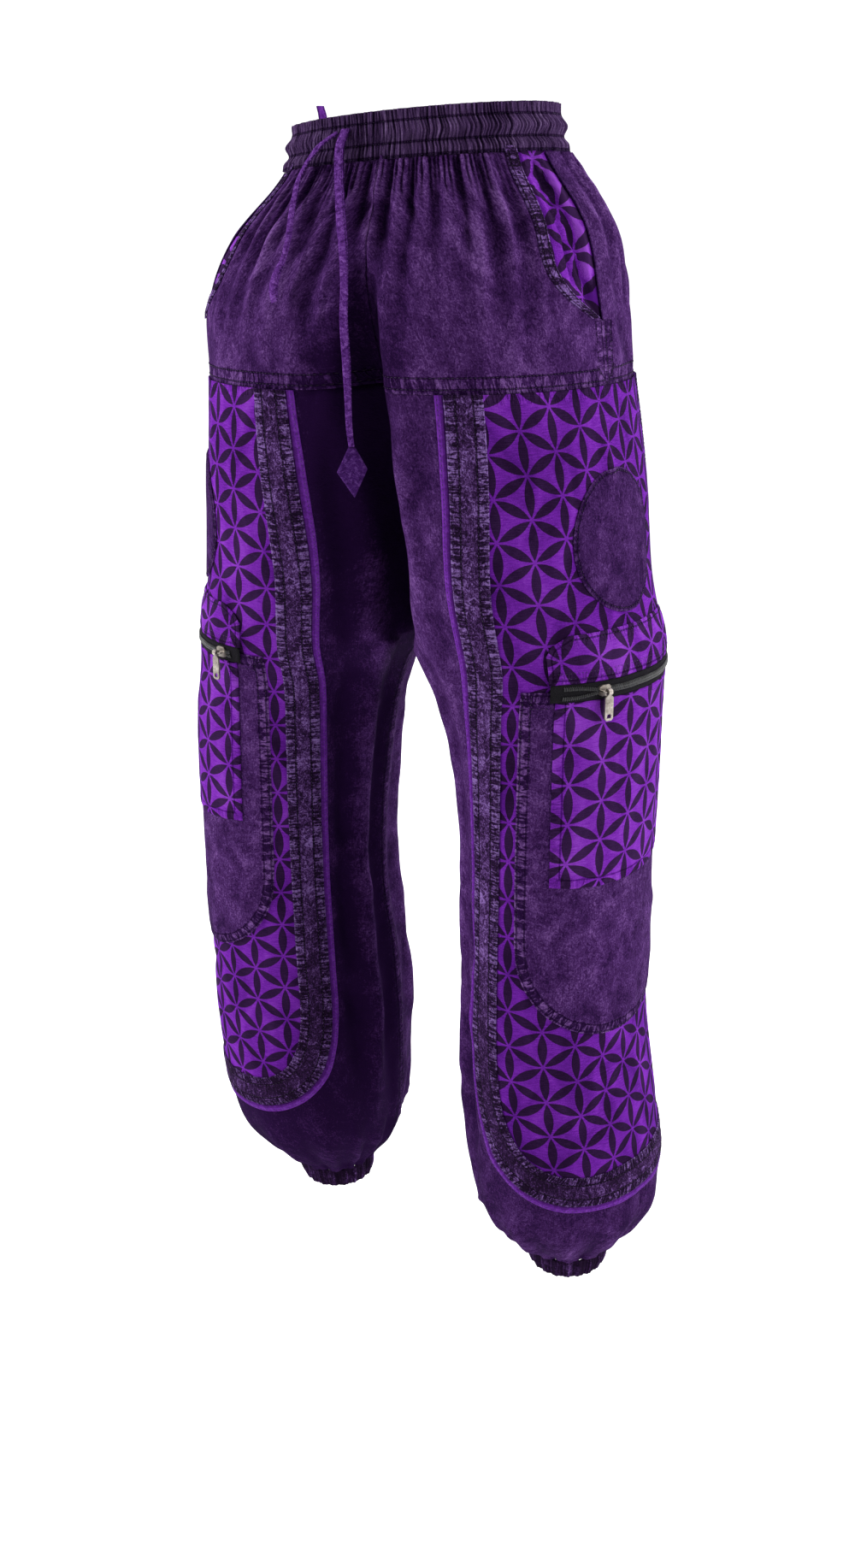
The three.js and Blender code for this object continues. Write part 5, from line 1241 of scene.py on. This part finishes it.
tape_black, coil_black, zinc = black_tape(), coil_plastic(), worn_zinc()
for side in ("left", "right"):
    cloth = Cloth(side, leg_push)
    w = np.linspace(-ZIP_HALF, ZIP_HALF, 58)[None] + np.zeros((9, 1))
    z = np.linspace(ZIP_TOP, ZIP_BOTTOM, 9)[:, None] + 0 * w
    slider = SLIDER_PLACES[side]
    parted = ease((w - slider) / 26) * np.exp(-((z - ZIP_MIDDLE) / 1.6) ** 2)
    outer, inner = cloth.at(w, z, ZIP_HEIGHT - 0.5 * parted), cloth.at(w, z, SECOND_HEIGHT - 0.1)
    piece = shell(f"zip_tape_{side}_woven", outer, inner,
                  marks=marks_of(side, w, z, 0 * w))
    dress(piece, f"zip_tape_{side}", tape_black)
    teeth = []
    places = np.arange(-ZIP_HALF + 2, ZIP_HALF - 9, COIL_PITCH)
    for row in (1, -1):
        at = places + (COIL_PITCH / 2 if row < 0 else 0)
        gap = 0.15 + 2.6 * ease((at - slider) / 24)
        near, far = ZIP_MIDDLE + row * (gap - 0.55), ZIP_MIDDLE + row * (gap + 2.3)
        ends = [cloth.at(at + lean, height, ZIP_HEIGHT + lift) for lean, height, lift in (
            (0.0, near, 0.55), (0.12, (near + far) / 2, 0.95), (0.25, far, 0.45))]
        out = cloth.normal
        run = unit(np.gradient(ends[1], axis=0))
        for k in range(len(at)):
            for spot, thick in zip(ends, (0.62, 0.52, 0.5)):
                for turn in range(6):
                    a = turn * math.pi / 3
                    teeth.append(spot[k] + run[k] * thick * math.cos(a) + out[k] * thick * math.sin(a))
    points = np.array(teeth)
    index = np.arange(len(points)).reshape(-1, 3, 6)
    around = np.roll(index, -1, axis=2)
    sides = np.stack([index[:, :-1], around[:, :-1], around[:, 1:], index[:, 1:]], -1).reshape(-1, 4)
    caps = np.concatenate([index[:, 0, ::-1], index[:, -1]])
    coil = mesh_object(f"zip_coil_{side}", points, [sides, caps], {"cloth": points})
    coil.data.materials.append(coil_black)
    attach(coil, "garment")
    for node_name in (f"zip_slider_{side}", f"pull_tab_{side}"):
        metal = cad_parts[node_name]
        metal.data.materials.clear()
        metal.data.materials.append(zinc)

# Yoke: front and back of plain cloth, gathered into the waistband above and sewn to the legs below, with a
# curved slanted pocket opening at each side. Two rows of stitching hold the seam allowance above the leg seam.
YOKE_TOP = -32.5
YOKE_BOTTOM = -185.0
YOKE_FRONT_COLUMNS = 16
YOKE_BACK_COLUMNS = 22
YOKE_GATHERS = table("z depth", ((-32.5, 2.2), (-52, 3.8), (-78, 3.6), (-106, 2.4), (-141, 1.2), (-185, 0)))
POCKET_OPENING = table("z front behind", (
    (-32.5, 20, -6), (-52, 25, -7), (-78, 30, -8), (-106, 31, -10), (-126, 17, -12), (-141, -8, -13),
))
OPENING_END = -141.0
SIDE_SEAM = -13.0
WELT_WIDTH = 10.0
YOKE_CREASES = (
    (44, -44, 52, -96, -2.4, 4, 2), (74, -42, 78, -110, -2.2, 4, -2), (90, -40, 84, -90, 1.8, 3.5, 1),
    (116, -42, 118, -104, -2.2, 4, 2), (146, -40, 152, -112, -2.4, 4.5, -2), (172, -44, 176, -100, -2.0, 4, 1),
    (60, -60, 66, -150, -1.6, 6, 3), (100, -50, 96, -140, 1.4, 6, -3), (130, -45, 140, -120, -1.5, 6, 4),
    (160, -60, 168, -160, 1.5, 7, -3), (-60, -50, -66, -150, -1.6, 7, 4), (-110, -45, -100, -140, 1.5, 7, -3),
    (-150, -60, -165, -150, -1.4, 7, 3), (30, -150, 90, -172, -0.9, 7, 3), (-30, -140, -80, -168, -0.9, 7, 3),
)


def yoke_push(side, w, z):
    w, z = np.broadcast_arrays(np.asarray(w, float), np.asarray(z, float))
    front, behind = ring_value(side, z, "front"), ring_value(side, z, "behind")
    column = YOKE_FRONT_COLUMNS - np.where(w > 0, YOKE_FRONT_COLUMNS * w / front, YOKE_BACK_COLUMNS * w / behind)
    calm = 0.15 + 0.85 * ease((np.abs(w - 8) - 22) / 26)
    uneven = 0.8 + 0.35 * np.sin(1.7 * column + 0.6) * np.cos(0.9 * column)
    depth = straight(YOKE_GATHERS, z, "depth")
    total = depth * np.cos(np.pi * column) * uneven * calm
    fine = np.cos(2.37 * np.pi * column + 1.5 * np.sin(1.3 * column)) * (0.5 + 0.5 * np.sin(2.9 * column))
    total = total + 1.3 * fine * calm * ease((z + 105) / 60)
    total = total + 1.5 * np.cos(4.2 * np.pi * column + np.sin(2.1 * column)) * calm * ease((z + 70) / 30)
    puffs = np.sin(6.9 * column + 1.4 * np.sin(z / 7)) * np.sin(z / 4.2 + 1.7 * column)
    total = total + 0.7 * puffs * calm * ease((z + 74) / 24)
    quiet = ease((-38 - z) / 20) * ease((z + 183) / 14)
    humps = 1.5 * ripple(w, z * 0.55, 30, 3.3 + SIDE_SIGN[side]) + 0.6 * ripple(w, z * 0.6, 12, 1.7)
    total = total + quiet * calm * (1.3 * creases(w, z, YOKE_CREASES) + humps)
    return total


def opening(column, z):
    return smooth(POCKET_OPENING, z, column)


yoke_finish = stonewashed("plain_stonewashed_yoke", grooves=(3.0, 10.5), bars=0.17, reach=10.5)
for side in ("left", "right"):
    cloth = Cloth(side, yoke_push)
    z_rows = np.linspace(YOKE_TOP, YOKE_BOTTOM, 66)
    z_rows[np.argmin(np.abs(z_rows - OPENING_END))] = OPENING_END
    for part in ("front", "back"):
        if part == "front":
            middle = ring_value(side, z_rows, "front")
            edge = np.where(z_rows > OPENING_END - 0.01, opening("front", z_rows), SIDE_SEAM + SEAM / 2)
            count = 140
        else:
            middle = -ring_value(side, z_rows, "behind")
            edge = np.where(z_rows > OPENING_END - 0.01, opening("behind", z_rows), SIDE_SEAM - SEAM / 2)
            count = 170
        share = np.linspace(0, 1, count)[None]
        w = middle[:, None] * (1 - share) + edge[:, None] * share
        z = np.repeat(z_rows[:, None], count, axis=1)
        from_seam = z - YOKE_BOTTOM
        from_side = np.where(z < OPENING_END, np.abs(w - SIDE_SEAM), 60)
        off = np.minimum(from_seam, from_side)
        along = np.where(from_seam < from_side, w, z)
        push = yoke_push(side, w, z)
        hem = 0.3 * np.sin(w / 1.5 + 2 * np.sin(w / 19)) * np.exp(-((from_seam - 6) / 5) ** 2)
        # the yoke's folds get a third more painted light and shade than their height
        piece = shell(f"yoke_{part}_{side}_cloth", cloth.at(w, z, hem), cloth.at(w, z, -CLOTH_THICK),
                      marks=marks_of(side, w, z, push * 1.35, off, along))
        size = (round(float(np.abs(middle - edge).max()) * 0.001 * 1.12, 3), 0.175)
        dress(piece, f"yoke_{part}_{side}", yoke_finish)
        far = float(middle[-1])
        for above in (3.0, 10.5):
            line = [(w0, YOKE_BOTTOM + above) for w0 in np.linspace(far * 0.985, float(edge[-1]), 60)]
            sew(side, cloth, line, 0.3)
    for shift in (2.5, 9.0):
        sew(side, cloth, [(SIDE_SEAM - shift, z0) for z0 in np.linspace(OPENING_END - 4, YOKE_BOTTOM + 2, 12)], 0.15)

# Seam allowances: the halves meet in one seam down the front and up the back, each leg is closed along its inner
# side, and the yoke is sewn to the leg at the hip. The overlocked edges lie inside, as strips behind the seams.
ALLOWANCE = 8.0
ALLOWANCE_THICK = 0.9
GUSSET_HALF = (6.0, 15.0)
allowance_finish = stonewashed("plain_stonewashed_allowance", grooves=())


def allowance(name, blocks):
    """A strip inside the cloth, from blocks of places side by side."""
    layers = [np.hstack([cloth.at(w, z, -CLOTH_THICK - depth) for cloth, w, z in blocks])
              for depth in (0.3, 0.3 + ALLOWANCE_THICK)]
    place = np.hstack([np.stack([w, z, 0 * w], -1) for cloth, w, z in blocks])
    piece = shell(name, *layers, marks={"cloth": place, "edge": place + 60})
    lay_inside(piece)


def lay_inside(piece):
    piece.data.materials.append(allowance_finish)
    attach(piece, "garment")


for part in ("front", "back"):
    away = -1 if part == "front" else 1
    for name, top, bottom, push_of in (("yoke", -29.0, -184.6, yoke_push), ("leg", LEG_TOP, CROTCH + 0.4, leg_push)):
        z_rows = np.linspace(top, bottom, 44)
        blocks = []
        for side, shares in (("right", np.linspace(1, 0.05, 5)), ("left", np.linspace(0.05, 1, 5))):
            middle = ring_value(side, z_rows, "front") if part == "front" else -ring_value(side, z_rows, "behind")
            w = middle[:, None] + away * ALLOWANCE * shares[None]
            blocks.append((Cloth(side, push_of), w, np.repeat(z_rows[:, None], 5, axis=1)))
        allowance(f"middle_seam_{name}_{part}", blocks)
for side in ("left", "right"):
    z_rows = np.linspace(CROTCH - 1.5, CUFF_TOP, 130)
    cloth = Cloth(side, leg_push)
    z = np.repeat(z_rows[:, None], 5, axis=1)
    in_front = ring_value(side, z_rows, "front")[:, None] - ALLOWANCE * np.linspace(1, 0.05, 5)[None]
    in_back = -ring_value(side, z_rows, "behind")[:, None] + ALLOWANCE * np.linspace(0.05, 1, 5)[None]
    allowance(f"inner_seam_{side}", [(cloth, in_front, z), (cloth, in_back, z)])
    z_rows = np.linspace(YOKE_BOTTOM + 6, YOKE_BOTTOM - 6, 7)
    front, behind = ring_value(side, z_rows, "front")[:, None], ring_value(side, z_rows, "behind")[:, None]
    share = np.linspace(0, 1, 150)[None]
    w = front * (1 - share) - behind * share
    z = np.repeat(z_rows[:, None], w.shape[1], axis=1)
    layers = [cloth.at(w, z, -CLOTH_THICK - depth) for depth in (0.3, 0.3 + ALLOWANCE_THICK)]
    place = np.stack([w, z, 0 * w], -1)
    strip = shell(f"hip_seam_{side}", *layers, marks={"cloth": place, "edge": place + 60})
    lay_inside(strip)
across, along = np.meshgrid(np.linspace(-1, 1, 9), np.linspace(-1, 1, 15))
under = np.stack([GUSSET_HALF[0] * across * (1 - 0.5 * along ** 2), GUSSET_HALF[1] * along,
                  CROTCH + 1.2 - 2.0 * across ** 2 + 2.6 * along ** 2], -1)
gusset = shell("crotch_gusset", under, under + np.array([0, 0, ALLOWANCE_THICK]),
               marks={"cloth": under, "edge": under + 60})
lay_inside(gusset)

# Hip pocket: the printed facing shows in the opening and hangs back from it, and a turned welt of the dark
# cloth edges the front of the opening with two rows of stitching.
FACING_TOP = -28.0
FACING_UNDERLAP = 10.0
FACING_DEPTH = 9.0
facing_finish = printed("print_facing", (6.0, -96.0))
welt_finish = stonewashed("dark_stonewashed_welt", DARK_TONES, -0.02, (1.8,), 0.2, 5.0, 0.7)
for side in ("left", "right"):
    cloth = Cloth(side, yoke_push)
    z_rows = np.linspace(FACING_TOP, OPENING_END, 46)
    front, behind = opening("front", z_rows), opening("behind", z_rows)
    share = np.linspace(0, 1, 28)[None]
    w = (front + FACING_UNDERLAP)[:, None] * (1 - share) + (behind - FACING_UNDERLAP)[:, None] * share
    z = np.repeat(z_rows[:, None], w.shape[1], axis=1)
    inward = np.clip((front[:, None] - w) / np.maximum(front - behind, 1)[:, None], 0, 1)
    down = np.clip((z + 141) / 30, 0, 1) * np.clip((YOKE_TOP - z) / 20, 0, 1)
    hang = down * np.sin(np.pi * inward ** 1.5)
    folds = ripple(w * 1.3 + z * 0.25, z * 0.5 - w * 0.3, 9, 2.4) + 0.6 * ripple(w + z * 0.2, z - w * 0.5, 5, 5.1)
    ridge = np.exp(-((inward - 0.86) / 0.10) ** 2) * down
    sunk = np.clip(0.62 * hang + 0.36 * folds * np.sqrt(np.clip(hang, 0, 1)) - 0.35 * ridge, 0, 1)
    top = -CLOTH_THICK - 2 * LAYER_GAP - FACING_DEPTH * sunk
    # painted shading of the facing: painted shade deeper in the opening, furthest in and lowest, and along its front
    # edge under the welt, and a painted highlight on its ridge
    painted_shading = 34 * (0.42 - sunk) * hang + 14 * ridge - 30 * ease((inward - 0.5) / 0.3) * ease((-108 - z) / 20)
    painted_shading = painted_shading - 12 * ease((0.22 - inward) / 0.2)
    piece = shell(f"pocket_facing_{side}_cloth", cloth.at(w, z, top), cloth.at(w, z, top - APPLIED_THICK),
                  marks=marks_of(side, w, z, painted_shading))
    dress(piece, f"pocket_facing_{side}", facing_finish)
    share = np.linspace(0, 1, 7)[None]
    w = (front + WELT_WIDTH)[:, None] * (1 - share) + front[:, None] * share
    z = np.repeat(z_rows[:, None], w.shape[1], axis=1)
    off = WELT_WIDTH * np.minimum(share, 1 - share) + 0 * w
    piece = shell(f"pocket_welt_{side}_cloth", cloth.at(w, z, LAYER_GAP + 0.9 * (0.55 + 0.45 * ease(off / 1.5))),
                  cloth.at(w, z, LAYER_GAP), marks=marks_of(side, w, z, 0 * w, off, z))
    dress(piece, f"pocket_welt_{side}", welt_finish)
    for inset in (1.8, 8.2):
        row = np.column_stack([front + WELT_WIDTH - inset, z_rows])[1:-1]
        sew(side, cloth, row, LAYER_GAP + 0.85)

# Waistband: one long strip gathered on elastic by three rows of shirring. Its middle row is the drawstring's
# channel. The gathers stand as fine upright pleats: stone wear and painted light on their crests, painted shade
# between.
WAIST_ROWS = table("z puff gather slip", (
    (0, 0.3, 0.9, 0), (-7.5, -0.6, 0.5, 0.1), (-15, 2.6, 1.4, 0.45), (-22, -0.6, 0.5, 0.2), (-27, 1.5, 1.0, 0.35),
    (-32, 0, 0.9, 0.3),
))
WAIST_COLUMNS = 100
WAIST_WALL = 1.8
SHIRRING = (-7.5, -22.0, -31.0)


def waist_grid(fine, z_rows):
    """Points round the gathered band: columns run from the front middle by the left side."""
    columns = np.arange(WAIST_COLUMNS * fine)[None] / fine + 0 * z_rows[:, None]
    z = np.repeat(z_rows[:, None], columns.shape[1], axis=1)
    turned = ((columns + smooth(WAIST_ROWS, z, "slip")) % WAIST_COLUMNS) / WAIST_COLUMNS * 2
    uneven = 0.8 + 0.35 * np.sin(1.9 * columns) * np.cos(0.7 * columns + 1)
    push = smooth(WAIST_ROWS, z, "puff") + smooth(WAIST_ROWS, z, "gather") * uneven * np.cos(np.pi * columns)
    pleats = np.cos(2.83 * np.pi * columns + 1.6 * np.sin(0.8 * columns + z / 9))
    pleats = pleats * (0.6 + 0.4 * np.sin(1.3 * columns))
    narrow = np.cos(4.6 * np.pi * columns + 1.3 * np.sin(1.9 * columns + z / 5))
    narrow = narrow * (0.7 + 0.3 * np.sin(0.9 * columns + 2))
    fine_pleats = 0.75 * pleats + 0.9 * narrow
    push = push + fine_pleats
    outer, inner = np.zeros((*z.shape, 3)), np.zeros((*z.shape, 3))
    for side in ("left", "right"):
        here = turned < 1 if side == "left" else turned >= 1
        part = np.where(turned < 1, turned, 2 - turned)
        front, behind = ring_value(side, z, "front"), ring_value(side, z, "behind")
        w = front - part * (front + behind)
        place, out = body_point(side, w, z, push)
        outer[here] = place[here]
        inner[here] = (place - out * WAIST_WALL)[here]
    return columns, z, fine_pleats, outer, inner


def shirred():
    """Stonewashed cloth of the band: long pale streaks down the pleats and dark grooves at the shirring."""
    material, tree, shader = recipe("shirred_waistband", 0.86, 0.03)
    place = millimetres(tree)
    column, z, fold = split(tree, place)
    streaks = noise(tree, millimetres(tree, stretch=(0.85, 0.05, 0.2)), 1.0, 3, 0.7)
    flecks = noise(tree, millimetres(tree, stretch=(2.2, 0.8, 0.3)), 1.0, 3, 0.75)
    cloud = noise(tree, millimetres(tree, stretch=(1, 1, 0)), 0.03, 2)
    tone = calc(tree, "MULTIPLY_ADD", streaks, 0.5, calc(tree, "MULTIPLY", flecks, 0.32))
    tone = calc(tree, "MULTIPLY_ADD", cloud, 0.2, tone)
    # the pleats' height sets the tone: lighter crests, from stone wear and painted light, and darker troughs with
    # painted shade
    tone = calc(tree, "MULTIPLY_ADD", fold, 0.11, calc(tree, "MULTIPLY_ADD", tone, 1.5, -0.27))
    groove = None
    for height in SHIRRING:
        line = between(tree, calc(tree, "ABSOLUTE", calc(tree, "SUBTRACT", z, height)), 1.3, 0.3)
        groove = line if groove is None else calc(tree, "MAXIMUM", groove, line)
    tone = calc(tree, "MULTIPLY_ADD", groove, -0.2, tone)
    stops = ((0.27, (0.010, 0.004, 0.020)), (0.46, (0.036, 0.016, 0.058)), (0.6, (0.085, 0.045, 0.125)),
             (0.78, (0.21, 0.13, 0.29)))
    tree.links.new(shade(tree, tone, stops), shader.inputs["Base Color"])
    height = calc(tree, "MULTIPLY_ADD", streaks, 0.8, calc(tree, "MULTIPLY", flecks, 0.25))
    raised(tree, shader, calc(tree, "MULTIPLY_ADD", groove, -0.6, height), 0.0010)
    return material


waist_finish = shirred()
columns, z, push, outer, inner = waist_grid(10, np.linspace(0, -32, 28))
band_marks = {"cloth": np.stack([columns * 5.8, z, push], -1), "edge": np.stack([60 + 0 * z, z, 0 * z], -1)}
band = shell("waistband_gathered", outer, inner, around=True, marks=band_marks)
dress(band, "waistband", waist_finish)
for height in SHIRRING:
    columns, z, push, outer, inner = waist_grid(3, np.array([height, height + 0.01]))
    line = outer[0]
    out = unit(outer[0] - inner[0])
    first, last = line, np.roll(line, -1, axis=0)
    middle = (first + last) / 2 + out * 0.1
    along = unit(last - first)
    upright = np.cross(along, out)
    size = THREAD_HALF * 1.1
    first, last = first * 0.82 + last * 0.18 - out * 0.15, first * 0.18 + last * 0.82 - out * 0.15
    threads["waist"].append(np.stack([
        first, middle + out * size, middle + upright * size, middle - out * size, middle - upright * size, last,
    ], 1))

# Cuffs: a narrow hem at each ankle, drawn in by the flat elastic inside it. The leg's blouse is gathered into
# its upper edge.
CUFF_ROWS = table("z puff gather", ((-916.3, -1, 0.6), (-925, 0.8, 1.1), (-935, 0, 0.8)))
CUFF_COLUMNS = 40
CUFF_WALL = 1.6
cuff_finish = stonewashed("elastic_cuff", DARK_TONES, -0.10, (), 0.12, 10.0)
for side in ("left", "right"):
    z_rows = np.linspace(-916.3, -935, 14)
    columns = np.arange(CUFF_COLUMNS * 9)[None] / 9 + 0 * z_rows[:, None]
    z = np.repeat(z_rows[:, None], columns.shape[1], axis=1)
    front, behind = ring_value(side, z, "front"), ring_value(side, z, "behind")
    w = front - columns / CUFF_COLUMNS * (front + behind)
    gather = np.cos(np.pi * columns) * (0.85 + 0.3 * np.sin(2.1 * columns))
    fine = 0.35 * np.cos(2.6 * np.pi * columns + 1.4 * np.sin(1.1 * columns))
    push = smooth(CUFF_ROWS, z, "puff") + smooth(CUFF_ROWS, z, "gather") * gather + fine
    outer, out = body_point(side, w, z, push)
    run = columns * 5
    # the gathers' height counts three times in their painted light and shade
    marks = {"cloth": np.stack([run, z, push * 3], -1), "edge": np.stack([5 + 0 * z, run, 0 * z], -1)}
    piece = shell(f"cuff_{side}_gathered", outer, outer - out * CUFF_WALL, around=True, marks=marks)
    dress(piece, f"cuff_{side}", cuff_finish)

# Hanging tab: a short loop of the bright folded tape, sewn inside the waistband on the right. It stands up above
# the band's edge.
HANGING_TAB = (
    (-94.7, 22, -16, 9, 1.2, 70),
    (-95.2, 22, -6, 9, 1.2, 70),
    (-96.3, 22.5, 3, 9, 1.2, 70),
    (-98.5, 23, 10, 8, 1.2, 70),
)
tab = tape("hanging_tab_loop", HANGING_TAB)[0]
tab.data.materials.append(bright_tape("bright_tab", 2.6))
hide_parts("hanging_tab")
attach(tab, "garment")


def thread_finish():
    """Dark polyester thread, slightly glossy, a little uneven in colour."""
    material, tree, shader = recipe("dark_thread", 0.5, 0.02, 0.3)
    wear = noise(tree, millimetres(tree), 0.3, 2)
    tree.links.new(shade(tree, wear, ((0.35, (0.006, 0.002, 0.012)), (0.7, (0.045, 0.018, 0.08)))),
                   shader.inputs["Base Color"])
    raised(tree, shader, wear, 0.0001)
    return material


thread = thread_finish()
SPINDLE = ((0, 1, 2), (0, 2, 3), (0, 3, 4), (0, 4, 1), (5, 2, 1), (5, 3, 2), (5, 4, 3), (5, 1, 4))
for where, stitches in threads.items():
    corners = np.concatenate(stitches)
    points = corners.reshape(-1, 3)
    faces = (np.arange(len(corners))[:, None, None] * 6 + np.array(SPINDLE)[None]).reshape(-1, 3)
    sewn = mesh_object(f"stitching_{where}", points, [faces], {"cloth": points})
    sewn.data.materials.append(thread)
    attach(sewn, "garment")
